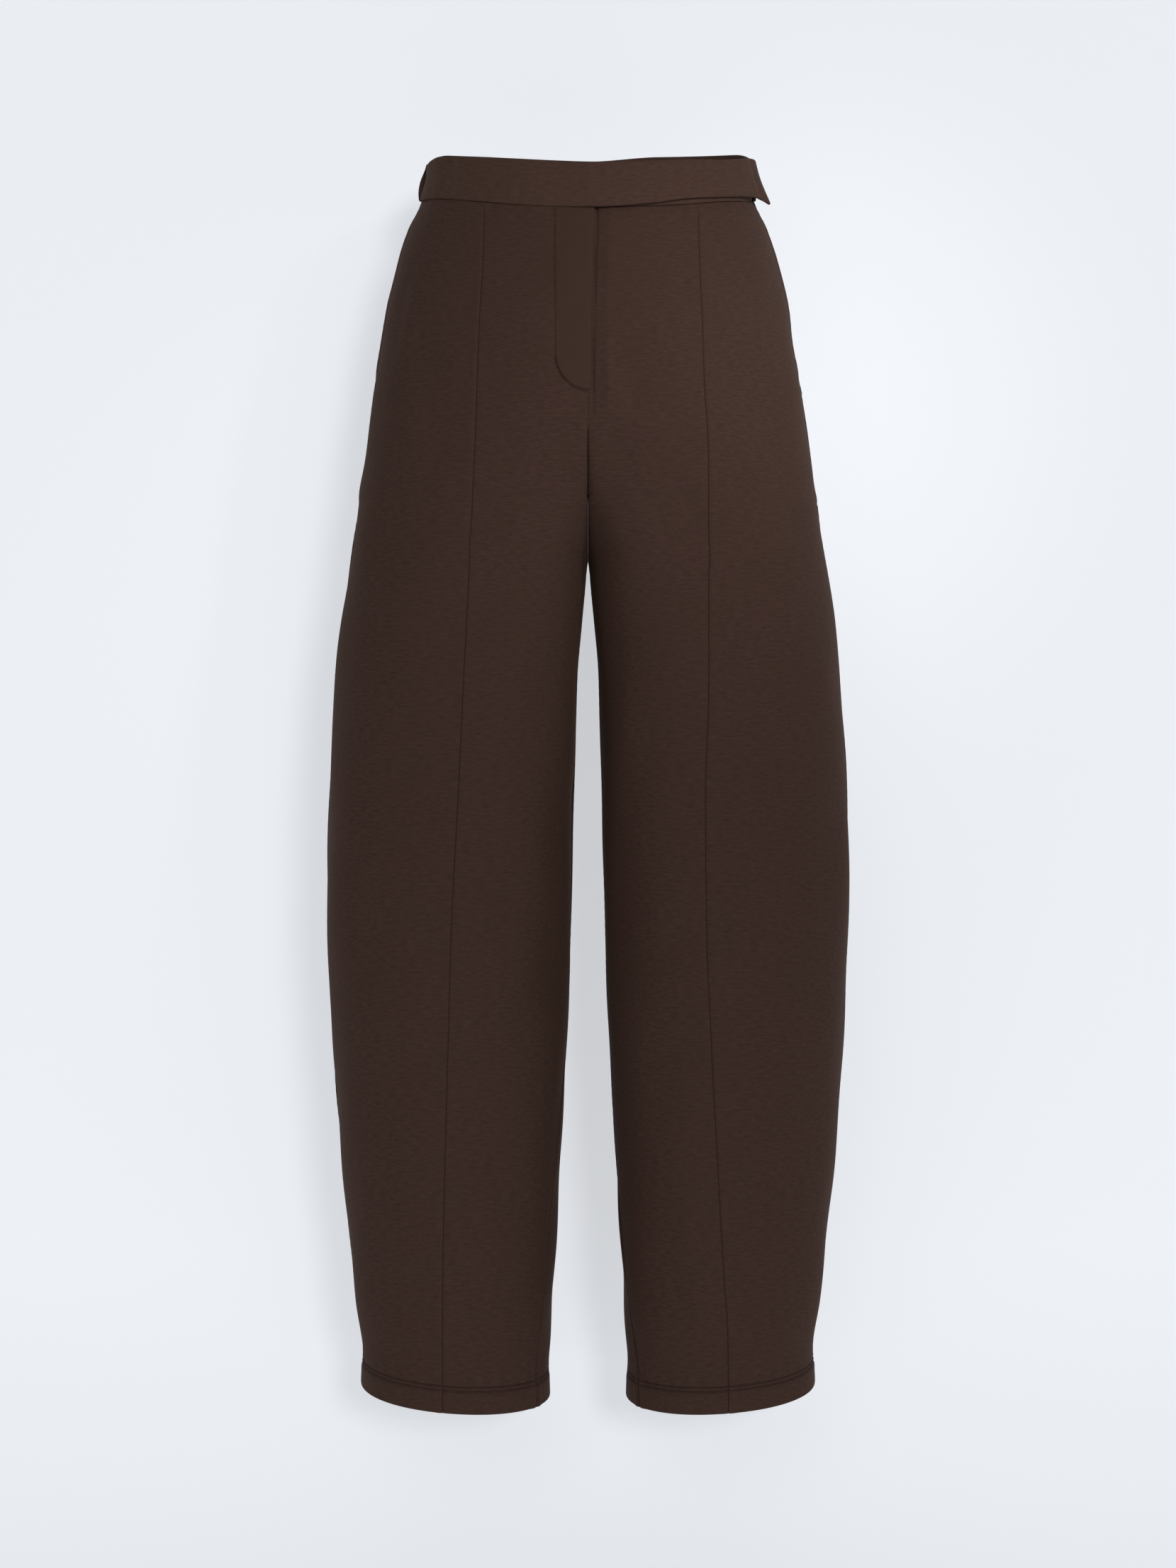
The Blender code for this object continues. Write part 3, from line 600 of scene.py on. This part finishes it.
def panel_grid(spec):
    """A panel's face and lining points, its cloth map, its flat sizes and its area."""
    leg = spec["leg"]
    is_front = spec["to_seam"] != "centre_back"
    heights = panel_heights(spec["name"])
    laps = panel_laps(spec["name"], heights)
    rings = [Ring(leg, h, lap) for h, lap in zip(heights, laps)]
    start, end = panel_ends(spec, heights, rings)
    turn = None
    if spec["from_seam"] != "front_seam":
        turn_name = "centre" if is_front else "centre_back"
        turn = np.array([ring.turns[turn_name] for ring in rings])
    ways = column_ways(spec, start, end, turn)
    x = np.array([ring.at(row)[0] for ring, row in zip(rings, ways)])
    z = np.repeat(heights[:, None], ways.shape[1], 1)
    to_start, to_end = ways - start[:, None], end[:, None] - ways

    fold = cloth_fold(leg, is_front, ways, x, z)
    out = fold + panel_relief(spec, ways, x, z, to_start, to_end)
    out += crotch_crease(rings, ways, heights)
    half = DOUBLE / 2
    tuck = np.clip((HEM + half - z) / half, 0, 0.98)
    rounded = half * (1 - np.sqrt(1 - tuck**2))
    out -= rounded
    thick = CLOTH + (DOUBLE - CLOTH) * ease(z, -976, -984) - 2 * rounded
    inner_out = np.minimum(fold * ease(z, HEM, -960) - 1.0, out) - thick + 1.0
    inner_out = np.minimum(inner_out, out - 0.45)

    face, lining = [], []
    to_edge = to_start if is_front else to_end
    rows = zip(rings, laps, to_edge, ways, out, inner_out, heights)
    for ring, lap, edge, way, face_out, lining_out, height in rows:
        below_fly = spec["from_seam"] != "front_seam" and -262 < height < -193
        for store, offset in ((face, face_out), (lining, lining_out)):
            px, py = ring.at(way, offset)
            px = np.maximum(px, HALF_GAP - lap)
            if below_fly:
                px = px - (px + LEGS_TOUCH) * ease(edge, 2.2, 0.3)
            store.append(settled(leg, is_front, px, py, height))
    uv = np.stack([ways - (start[:, None] if is_front else end[:, None]), z], -1)
    widths = end - start
    area = float(np.sum((widths[:-1] + widths[1:]) / 2 * -np.diff(heights)))
    flat = (float(widths.max()) * MM, float(heights[0] - HEM) * MM)
    return np.array(face), np.array(lining), uv, flat, area * MM**2


def make_panel(spec, material):
    """One panel, with the share of its cloth inside the fly's J, which gets painted shade, stored
    on its points.
    """
    face, lining, uv, flat, area = panel_grid(spec)
    piece = closed_wall(spec["name"] + "_jersey", face, lining, uv, material,
                        flip=spec["leg"] == "right")
    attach(piece, "root")
    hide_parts(spec["name"])
    fly_painted_shade = piece.data.attributes.new("fly_painted_shade", "FLOAT", "POINT")
    # Painted shade: the cloth inside the fly's J is marked here, and the material paints it darker
    # for the shade of the pressed fly.
    if spec["name"] == "front_centre_right":
        places = np.array([v.co for v in piece.data.vertices]) / MM
        inside = j_distance(-places[:, 0], places[:, 2])
        is_front = places[:, 1] < 0
        fly_painted_shade.data.foreach_set("value", 0.75 * ease(inside, -1, 5) * is_front)
    return piece, flat, area


def waist_point(along, height, out):
    """Points beyond the waist ring; along runs from the centre front to the wearer's left."""
    left = np.asarray(along) >= 0
    shrink = 1.0 - BAND_TAPER * (height - WAIST)
    lx, ly = WAIST_RINGS["left"].at(np.abs(along), out)
    rx, ry = WAIST_RINGS["right"].at(np.abs(along), out)
    x, y = np.where(left, lx, -rx), np.where(left, ly, ry)
    return x * shrink, y * shrink


def band_rows(depth):
    """Shares of a band's depth, close together at its rolled edges."""
    edge = (0.0, 0.15, 0.45, 0.9, 1.6, 2.6)
    middle = list(np.arange(4.4, depth - 3.2, 2.4))
    return np.array([*edge, *middle, *[depth - step for step in edge[::-1]]]) / depth


def rolled_edge(distance, radius=1.6):
    """How far a folded edge turns in at a distance from it."""
    t = np.clip(1 - distance / radius, 0, 0.97)
    return -radius * (1 - np.sqrt(1 - t**2))


def tab_points(way, v, extra):
    """Points of the lapping band's face."""
    end = TAB[-1][0]
    short = TAB_TOP_SHORT * v
    slant = TAB_LEAVES + (way - TAB_LEAVES) * (end - short - TAB_LEAVES) / (end - TAB_LEAVES)
    along = np.where(way > TAB_LEAVES, slant, way)
    get = {name: smooth_curve(TAB, TAB_COLUMNS, name, way) for name in TAB_COLUMNS[1:]}
    height = get["foot"] + (get["top"] - get["foot"]) * v
    out = get["out_foot"] + (get["out_top"] - get["out_foot"]) * ease(v, 0, 0.7) + extra
    out = out - TAB_CREASE * np.exp(-((along - 158 - 14 * (1 - v)) / 4.0) ** 2)
    x, y = waist_point(along, height, out)
    ax, ay = waist_point(np.full_like(along, TAB_LEAVES), height, out)
    bx, by = waist_point(np.full_like(along, TAB_LEAVES - 6), height, out)
    run = (along - TAB_LEAVES) / 6
    keep = np.where(along > TAB_LEAVES, TAB_TOP_HOLD * v, 1.0)
    x = keep * x + (1 - keep) * (ax + (ax - bx) * run)
    y = keep * y + (1 - keep) * (ay + (ay - by) * run)
    z = height + waist_tilt(x, np.maximum(y, -97))
    return np.stack([x, y, z], -1)


def band_ways(start, end, first, last, step):
    """Ways along a band: close at its two ends, even between first and last."""
    close = np.array(SEAM_STEPS[:6])
    return np.concatenate([start + close, np.arange(first, last, step), end - close[::-1]])


def make_lapping_band(material):
    """The front band, from the right side seam past the middle to the tab's end."""
    end = TAB[-1][0]
    start = -WAIST_RINGS["right"].seams["side"] + HALF_GAP
    ways = band_ways(start, end, start + 4, end - 4, 3.0)
    way, v = np.meshgrid(ways, band_rows(TAB_DEEP))
    depth = v * TAB_DEEP
    edges = rolled_edge(depth) + rolled_edge(TAB_DEEP - depth) + rolled_edge(end - way)
    relief = edges + rolled_edge(way - start, 1.0)
    relief += 0.22 * np.sin(way * 0.052 + 1.4 * v) + 0.12 * np.sin(way * 0.31 + 2 * v)
    relief += 0.10 * np.sin(way * 0.7) * ease(depth, 6, 0)
    face = tab_points(way, v, relief)
    lining = tab_points(way, v, -DOUBLE - 0.7 * edges)
    uv = np.stack([way, depth], -1)
    size = (end - start, TAB_DEEP)
    return band_piece("waistband_front_tab", face, lining, uv, material, size)


def band_piece(node, face, lining, uv, material, size):
    """A band's closed piece, its flat sizes and its area."""
    piece = closed_wall(node + "_jersey", face[::-1], lining[::-1], uv[::-1], material, flip=False)
    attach(piece, "root")
    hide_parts(node)
    return piece, (size[0] * MM, size[1] * MM), size[0] * size[1] * MM**2


def make_under_band(material):
    """The left front's band, which lies under the tab."""
    end = WAIST_RINGS["left"].seams["side"] - HALF_GAP
    deep = UNDER_BAND_DEEP
    ways = band_ways(HALF_GAP, end, 4, end - 4, 3.5)
    way, v = np.meshgrid(ways, band_rows(deep))
    depth = v * deep
    x0, _ = waist_point(way, np.full_like(way, WAIST), UNDER_BAND_OUT)
    foot = smooth_curve(WAIST_SEAM, WAIST_SEAM_COLUMNS, "height", x0) + GAP
    height = foot + (15.0 - foot) * v
    edges = rolled_edge(depth) + rolled_edge(deep - depth)
    grids = []
    for sunk in (edges, -DOUBLE - 0.7 * edges):
        x, y = waist_point(way, height, UNDER_BAND_OUT - 1.6 * ease(way, 140, 160) + sunk)
        grids.append(np.stack([x, y, height + waist_tilt(x, y)], -1))
    return band_piece("waistband_front_left", *grids, np.stack([way, depth], -1), material,
                      (end, deep))


def make_back_band(material):
    """The back band, from one side seam round the back to the other."""
    left, right = WAIST_RINGS["left"], WAIST_RINGS["right"]
    start, end = left.seams["side"] + HALF_GAP, left.along[-1]
    half = np.concatenate([start + np.array(SEAM_STEPS[:6]), np.arange(start + 4, end, 3.5)])
    signed = np.concatenate([half, [end], (2 * end - half)[::-1]])
    deep = BACK_BAND_DEEP
    way, v = np.meshgrid(signed, band_rows(deep))
    is_left = way <= end
    along = np.where(is_left, way, 2 * end - way)
    depth = v * deep
    near_end = bump(along, start, 30)
    drop, swell = (np.where(is_left, table["left"], table["right"]) * near_end
                   for table in (BACK_BAND_DROP, BACK_BAND_BULGE))
    height = WAIST + (deep - drop) * v
    bulge = swell * (bump(v, 0.27, 0.3) - BACK_BAND_LEAN * ease(v, 0.5, 1))
    edges = rolled_edge(depth) + rolled_edge(deep - depth)
    waves = 0.25 * np.sin(way * 0.047 + 1.1 * v) + 0.10 * np.sin(way * 0.7) * ease(depth, 6, 0)
    grids = []
    for sunk in (edges + waves, -DOUBLE - 0.7 * edges):
        lx, ly = left.at(along, BAND_OUT + bulge + sunk)
        rx, ry = right.at(along, BAND_OUT + bulge + sunk)
        x, y = np.where(is_left, lx, -rx), np.where(is_left, ly, ry)
        shrink = 1.0 - BAND_TAPER * (height - WAIST)
        x, y = x * shrink, y * shrink
        x = np.where(way == end, 0.0, x)
        grids.append(np.stack([x, y, height + waist_tilt(x, y)], -1))
    size = (2 * (end - start), deep)
    return band_piece("waistband_back", *grids, np.stack([way, depth], -1), material, size)


def make_pocket_facing(leg, material):
    """The strip of cloth behind a side pocket's mouth."""
    reach, sunk = 15.0, CLOTH + GAP + 0.8
    sign = 1 if leg == "left" else -1
    heights = np.linspace(POCKET_TOP + 5, POCKET_END - 7, 48)
    steps = np.linspace(-reach, reach, 13)
    face, lining = [], []
    for height in heights:
        ring = Ring(leg, height)
        ways = ring.seams["side"] + steps
        for store, deep in ((face, sunk), (lining, sunk + CLOTH)):
            x, y = ring.at(ways)
            level_line = np.full_like(x, height)
            fold = np.where(ways < ring.seams["side"],
                            fold_offset(leg, "front", x, level_line),
                            fold_offset(leg, "back", x, level_line))
            x, y = ring.at(ways, fold - deep)
            x = sign * x
            store.append(np.stack([x, y, level(height, x, y)], -1))
    uv = np.stack(np.meshgrid(steps, heights), -1)
    node = "pocket_facing_" + leg
    piece = closed_wall(node + "_jersey", np.array(face), np.array(lining), uv, material,
                        flip=leg == "right")
    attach(piece, "root")
    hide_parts(node)
    size = (2 * reach, heights[0] - heights[-1])
    return piece, (size[0] * MM, size[1] * MM), size[0] * size[1] * MM**2


def on_cloth(leg, way, height, out):
    """A point on a leg's cloth, and the direction that faces out there."""
    ring = ring_at(leg, height)
    x, _ = ring.at(way)
    is_front = way < ring.seams["side"]
    fold = cloth_fold(leg, is_front, np.array([way]), np.array([float(x)]), np.array([height]))
    px, py = ring.at(way, fold[0] + out)
    qx, qy = ring.at(way, fold[0] + out + 1)
    sign = 1 if leg == "left" else -1
    return settled(leg, is_front, px, py, height), np.array([sign * (qx - px), qy - py, 0.0])


def stitch_shape(long, thick):
    """Points and faces of one stitch: a bar of thread along X with rounded ends."""
    bpy.ops.mesh.primitive_uv_sphere_add(segments=6, ring_count=4, radius=thick / 2,
                                         rotation=(0, math.pi / 2, 0))
    stitch = bpy.context.object
    bpy.ops.object.transform_apply(location=False, rotation=True, scale=False)
    bpy.ops.object.mode_set(mode="EDIT")
    bpy.ops.mesh.select_all(action="SELECT")
    bpy.ops.transform.resize(value=(long / thick, 1, 1))
    bpy.ops.object.mode_set(mode="OBJECT")
    points = np.array([v.co for v in stitch.data.vertices])
    faces = [tuple(f.vertices) for f in stitch.data.polygons]
    bpy.data.objects.remove(stitch, do_unlink=True)
    return points, faces


def sew(name, line, long, thick, material):
    """Stitches along a line of places, each with the direction that faces out there."""
    shape, shape_faces = stitch_shape(long, thick)
    points, faces = [], []
    for i, (place, out) in enumerate(line):
        before, after = line[max(0, i - 1)][0], line[min(len(line) - 1, i + 1)][0]
        along = (after - before) / np.linalg.norm(after - before)
        out = out / np.linalg.norm(out)
        across = np.cross(out, along)
        first = i * len(shape)
        points.append(place + shape @ np.array([along, across, out]))
        faces += [tuple(first + v for v in face) for face in shape_faces]
    mesh = bpy.data.meshes.new(name)
    mesh.from_pydata((np.concatenate(points) * MM).tolist(), [], faces)
    mesh.materials.append(material)
    mesh.shade_smooth()
    piece = bpy.data.objects.new(name, mesh)
    bpy.context.scene.collection.objects.link(piece)
    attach(piece, "root")
    return piece


def make_hem_stitches(leg, material):
    """The twin-needle rows, all round a hem."""
    line = []
    for height in HEM_STITCHES:
        length = ring_at(leg, height).along[-1]
        count = int(length / STITCH_PITCH)
        line += [on_cloth(leg, length * (i + 0.5) / count, height, -0.3) for i in range(count)]
    return sew("hem_stitches_" + leg, line, 2.3, 0.75, material)


def make_fly_stitches(material):
    """The J that holds the fly's facing, from the waist to the fly's end."""
    path = [(J_ACROSS, height) for height in np.arange(-26.0, J_TURNS, -STITCH_PITCH)]
    wide, deep = J_ACROSS + J_FOOT, J_TURNS - FLY_END
    for angle in np.arange(0.0, 80.0, 5.8):
        a = math.radians(angle)
        path.append((wide * math.cos(a) - J_FOOT, J_TURNS - deep * math.sin(a)))
    line = []
    for x, height in path:
        ring = ring_at("right", height)
        half = slice(0, int(np.argmax(ring.x)))
        way = float(np.interp(x, ring.x[half], ring.along[half]))
        line.append(on_cloth("right", way, height, -0.35))
    return sew("fly_stitches", line, 2.1, 0.5, material)


def make_seam_stitches(leg, material):
    """The stitches that show in the groove of a front seam."""
    line = []
    for height in np.arange(-30.0, -974.0, -STITCH_PITCH * 1.2):
        ring = ring_at(leg, height)
        line.append(on_cloth(leg, ring.seams["front_seam"] + 0.25, height, -0.5))
    return sew("front_seam_stitches_" + leg, line, 1.7, 0.45, material)


def make_bar_tacks(leg, material):
    """The dense bars that close the two ends of a side pocket."""
    line = []
    for height in (POCKET_TOP + 2.5, POCKET_END - 3.0):
        side = ring_at(leg, height).seams["side"]
        line += [on_cloth(leg, side + 1.4 * (-1) ** i, height - 0.32 * i, 0.15)
                 for i in range(18)]
    return sew("pocket_bar_tacks_" + leg, line, 2.6, 0.45, material)


def linear(hex_code):
    """sRGB hex to the linear colour that Blender takes."""
    values = [int(hex_code[i:i + 2], 16) / 255 for i in (1, 3, 5)]
    return tuple(v / 12.92 if v < 0.04045 else ((v + 0.055) / 1.055) ** 2.4
                 for v in values) + (1.0,)


def add_node(tree, kind, settings=None, links=None):
    """Adds a node: settings are its properties or unlinked inputs, links the sockets it reads."""
    node = tree.nodes.new(kind)
    for name, value in (settings or {}).items():
        if name in node.inputs:
            node.inputs[name].default_value = value
        else:
            setattr(node, name, value)
    for name, socket in (links or {}).items():
        tree.links.new(socket, node.inputs[name])
    return node


def jersey(name, plain, warm, dark):
    """Heavy brushed cotton jersey: matt, with fine slubs along its courses and a soft nap."""
    material = bpy.data.materials.new("jersey_" + name)
    material.use_nodes = True
    tree = material.node_tree
    shader = tree.nodes["Principled BSDF"]
    shader.inputs["Roughness"].default_value = 0.92
    shader.inputs["IOR"].default_value = 1.5
    shader.inputs["Specular IOR Level"].default_value = 0.1
    shader.inputs["Sheen Weight"].default_value = 0.1
    shader.inputs["Sheen Roughness"].default_value = 0.5
    shader.inputs["Sheen Tint"].default_value = linear("#97755f")
    place = add_node(tree, "ShaderNodeUVMap", {"uv_map": "cloth"})
    # Dye mottling over 50 mm, between a plainer and a warmer brown
    blotch = add_node(tree, "ShaderNodeTexNoise", {"Scale": 20.0, "Detail": 3.0},
                      {"Vector": place.outputs[0]})
    tone = add_node(tree, "ShaderNodeMix", {"data_type": "RGBA"})
    tone.inputs["A"].default_value = linear(plain)
    tone.inputs["B"].default_value = linear(warm)
    tree.links.new(blotch.outputs["Fac"], tone.inputs["Factor"])
    # Slubs 7 mm long and 1.8 mm high, along the courses
    slub_place = add_node(tree, "ShaderNodeMapping", {"Scale": (143.0, 555.0, 1.0)},
                          {"Vector": place.outputs[0]})
    slub = add_node(tree, "ShaderNodeTexNoise", {"Scale": 1.0, "Detail": 4.0, "Roughness": 0.65},
                    {"Vector": slub_place.outputs[0]})
    slub_share = add_node(tree, "ShaderNodeMapRange", {"From Min": 0.25, "From Max": 0.72},
                          {"Value": slub.outputs["Fac"]})
    shade = add_node(tree, "ShaderNodeMix", {"data_type": "RGBA"})
    tree.links.new(slub_share.outputs[0], shade.inputs["Factor"])
    shade.inputs["A"].default_value = linear(dark)
    tree.links.new(tone.outputs["Result"], shade.inputs["B"])
    # Painted shade: the cloth inside the fly's stitching is painted a little darker, for the shade
    # that the pressed fly takes
    fly_painted_shade = add_node(tree, "ShaderNodeAttribute", {"attribute_name": "fly_painted_shade"})
    fly_shade_mix = add_node(tree, "ShaderNodeMix", {"data_type": "RGBA"})
    tree.links.new(fly_painted_shade.outputs["Fac"], fly_shade_mix.inputs["Factor"])
    tree.links.new(shade.outputs["Result"], fly_shade_mix.inputs["A"])
    fly_shade_mix.inputs["B"].default_value = linear("#392a21")
    tree.links.new(fly_shade_mix.outputs["Result"], shader.inputs["Base Color"])
    # Knit loops 1.1 mm wide, drawn at the size that shows
    knit_place = add_node(tree, "ShaderNodeMapping", {"Scale": (900.0, 900.0, 1.0)},
                          {"Vector": place.outputs[0]})
    knit = add_node(tree, "ShaderNodeTexNoise", {"Scale": 1.0, "Detail": 2.0},
                    {"Vector": knit_place.outputs[0]})
    height = add_node(tree, "ShaderNodeMath", {"operation": "ADD"},
                      {0: slub.outputs["Fac"], 1: knit.outputs["Fac"]})
    relief = add_node(tree, "ShaderNodeBump", {"Strength": 0.35, "Distance": 0.0004},
                      {"Height": height.outputs[0]})
    tree.links.new(relief.outputs[0], shader.inputs["Normal"])
    return material


def thread(name, hex_code):
    """Spun polyester sewing thread: twisted, a little glossier than the cloth it sinks into."""
    material = bpy.data.materials.new(name)
    material.use_nodes = True
    tree = material.node_tree
    shader = tree.nodes["Principled BSDF"]
    shader.inputs["Roughness"].default_value = 0.7
    shader.inputs["Specular IOR Level"].default_value = 0.3
    place = add_node(tree, "ShaderNodeTexCoord")
    # Twist of the plies, 0.5 mm apart
    twist = add_node(tree, "ShaderNodeTexNoise", {"Scale": 2000.0, "Detail": 1.0},
                     {"Vector": place.outputs["Object"]})
    tone = add_node(tree, "ShaderNodeMix", {"data_type": "RGBA"})
    tone.inputs["A"].default_value = linear(hex_code)
    tone.inputs["B"].default_value = linear("#1f1714")
    tree.links.new(twist.outputs["Fac"], tone.inputs["Factor"])
    tree.links.new(tone.outputs["Result"], shader.inputs["Base Color"])
    return material


def studio_board(hex_code, glow):
    """Painted studio board: matt pale grey, lit a little from inside, and clear from behind."""
    material = bpy.data.materials.new("studio_board")
    material.use_nodes = True
    tree = material.node_tree
    shader = tree.nodes["Principled BSDF"]
    shader.inputs["Base Color"].default_value = linear(hex_code)
    shader.inputs["Roughness"].default_value = 0.95
    shader.inputs["Specular IOR Level"].default_value = 0.0
    shader.inputs["Emission Color"].default_value = linear(hex_code)
    shader.inputs["Emission Strength"].default_value = glow
    side = add_node(tree, "ShaderNodeNewGeometry")
    clear = add_node(tree, "ShaderNodeBsdfTransparent")
    one_way = add_node(tree, "ShaderNodeMixShader",
                       links={0: side.outputs["Backfacing"], 1: shader.outputs[0],
                              2: clear.outputs[0]})
    tree.links.new(one_way.outputs[0], tree.nodes["Material Output"].inputs["Surface"])
    return material


def hang_lamp(light, place, target):
    """Puts a light at a place, turned to its target and hidden from the camera."""
    lamp = bpy.data.objects.new(light.name, light)
    lamp.location = place
    aim = Vector(target) - Vector(place)
    lamp.rotation_euler = aim.to_track_quat("-Z", "Y").to_euler()
    lamp.visible_camera = False
    bpy.context.scene.collection.objects.link(lamp)


def area_light(name, place, target, size, power):
    """A round soft box."""
    light = bpy.data.lights.new(name, "AREA")
    light.shape, light.size, light.energy = "DISK", size, power
    hang_lamp(light, place, target)


def spot_light(name, place, target, spread, size, power):
    """A narrow soft spot; spread is its whole angle in degrees."""
    light = bpy.data.lights.new(name, "SPOT")
    light.energy, light.shadow_soft_size = power, size
    light.spot_size, light.spot_blend = math.radians(spread), 1.0
    hang_lamp(light, place, target)


def make_sweep():
    """The pale floor and wall behind, as one bent board."""
    wall_y, floor_z, bend = 0.145, -1.2, 0.3
    profile = [(-3.0, floor_z), (wall_y - bend, floor_z)]
    profile += [(wall_y - bend + bend * math.sin(a), floor_z + bend - bend * math.cos(a))
                for a in np.linspace(0.1, math.pi / 2, 12)]
    profile += [(wall_y, 1.6)]
    points = [(x, y, z) for y, z in profile for x in (-2.5, 2.5)]
    faces = [(2 * i, 2 * i + 1, 2 * i + 3, 2 * i + 2) for i in range(len(profile) - 1)]
    mesh = bpy.data.meshes.new("sweep")
    mesh.from_pydata(points, [], faces)
    mesh.materials.append(studio_board("#a2a4a7", glow=1.54))
    mesh.shade_smooth()
    sweep = bpy.data.objects.new("sweep", mesh)
    bpy.context.scene.collection.objects.link(sweep)


def make_studio():
    """Backdrop, soft lights and the camera."""
    make_sweep()
    area_light("key", (1.8, -8.0, 0.9), (0, 0, -0.5), 1.6, 255)
    area_light("fill", (-0.5, -2.6, 0.5), (0, 0, -0.3), 1.8, 8.5)
    area_light("back_light", (0.7, 2.8, 0.3), (0, 0, -0.45), 1.6, 34)
    spot_light("top_spot", (0.35, -1.25, 0.95), (0.0, -0.09, -0.1), 32, 0.12, 5)
    spot_light("hip_spot", (0.85, -1.1, 0.35), (0.175, -0.05, -0.14), 22, 0.2, 58)
    world = bpy.data.worlds.new("studio")
    bpy.context.scene.world = world
    world.use_nodes = True
    background = world.node_tree.nodes["Background"]
    background.inputs["Color"].default_value = linear("#f2f4f8")
    background.inputs["Strength"].default_value = 0.2
    bpy.context.scene.view_settings.view_transform = "Standard"

    camera = bpy.data.cameras.new("camera")
    camera.lens, camera.sensor_width = 72.4, 36.0
    holder = bpy.data.objects.new("camera", camera)
    holder.location = (0.0, -2.6, -0.5001)
    holder.rotation_euler = (math.pi / 2, 0, 0)
    bpy.context.scene.collection.objects.link(holder)
    bpy.context.scene.camera = holder


def main():
    """Makes every piece and the studio."""
    bpy.ops.object.select_all(action="DESELECT")
    fronts = jersey("front", "#3f2e26", "#45302a", "#31231d")
    # Painted shade: the backs' copy of the jersey is painted darker than the fronts, for the shade
    # they lie in.
    backs_painted_shade = jersey("back", "#3c2b24", "#422e27", "#2f211b")
    # Painted light: the waistband's copy of the jersey is painted lighter than the fronts, for the
    # stronger light at the top.
    bands = jersey("waistband", "#44322a", "#49352d", "#372821")
    # Painted highlight: the pocket facings' copy of the jersey is painted lighter than the fronts,
    # for the light caught at the pocket's mouth.
    pockets_painted_light = jersey("pocket", "#4a382f", "#4f3b32", "#3e2e26")
    # The thread has its own colour and is also painted darker than the cloth, so that the stitches
    # stand in for painted shade in the grooves they sink into.
    thread_and_groove_shade = thread("sewing_thread", "#2c201b")
    for row in PANELS:
        spec = dict(zip(PANEL_COLUMNS, row))
        is_back = spec["name"].startswith("back")
        piece, flat, area = make_panel(spec, backs_painted_shade if is_back else fronts)
    sewn = {}
    for leg in ("right", "left"):
        sewn["front_side_" + leg] = [make_hem_stitches(leg, thread_and_groove_shade),
                                     make_bar_tacks(leg, thread_and_groove_shade)]
        sewn["front_centre_" + leg] = [make_seam_stitches(leg, thread_and_groove_shade)]
    sewn["front_centre_right"].append(make_fly_stitches(thread_and_groove_shade))
    for make in (make_lapping_band, make_under_band, make_back_band):
        piece, flat, _ = make(bands)
    for leg in ("right", "left"):
        piece, flat, _ = make_pocket_facing(leg, pockets_painted_light)
    make_studio()


main()
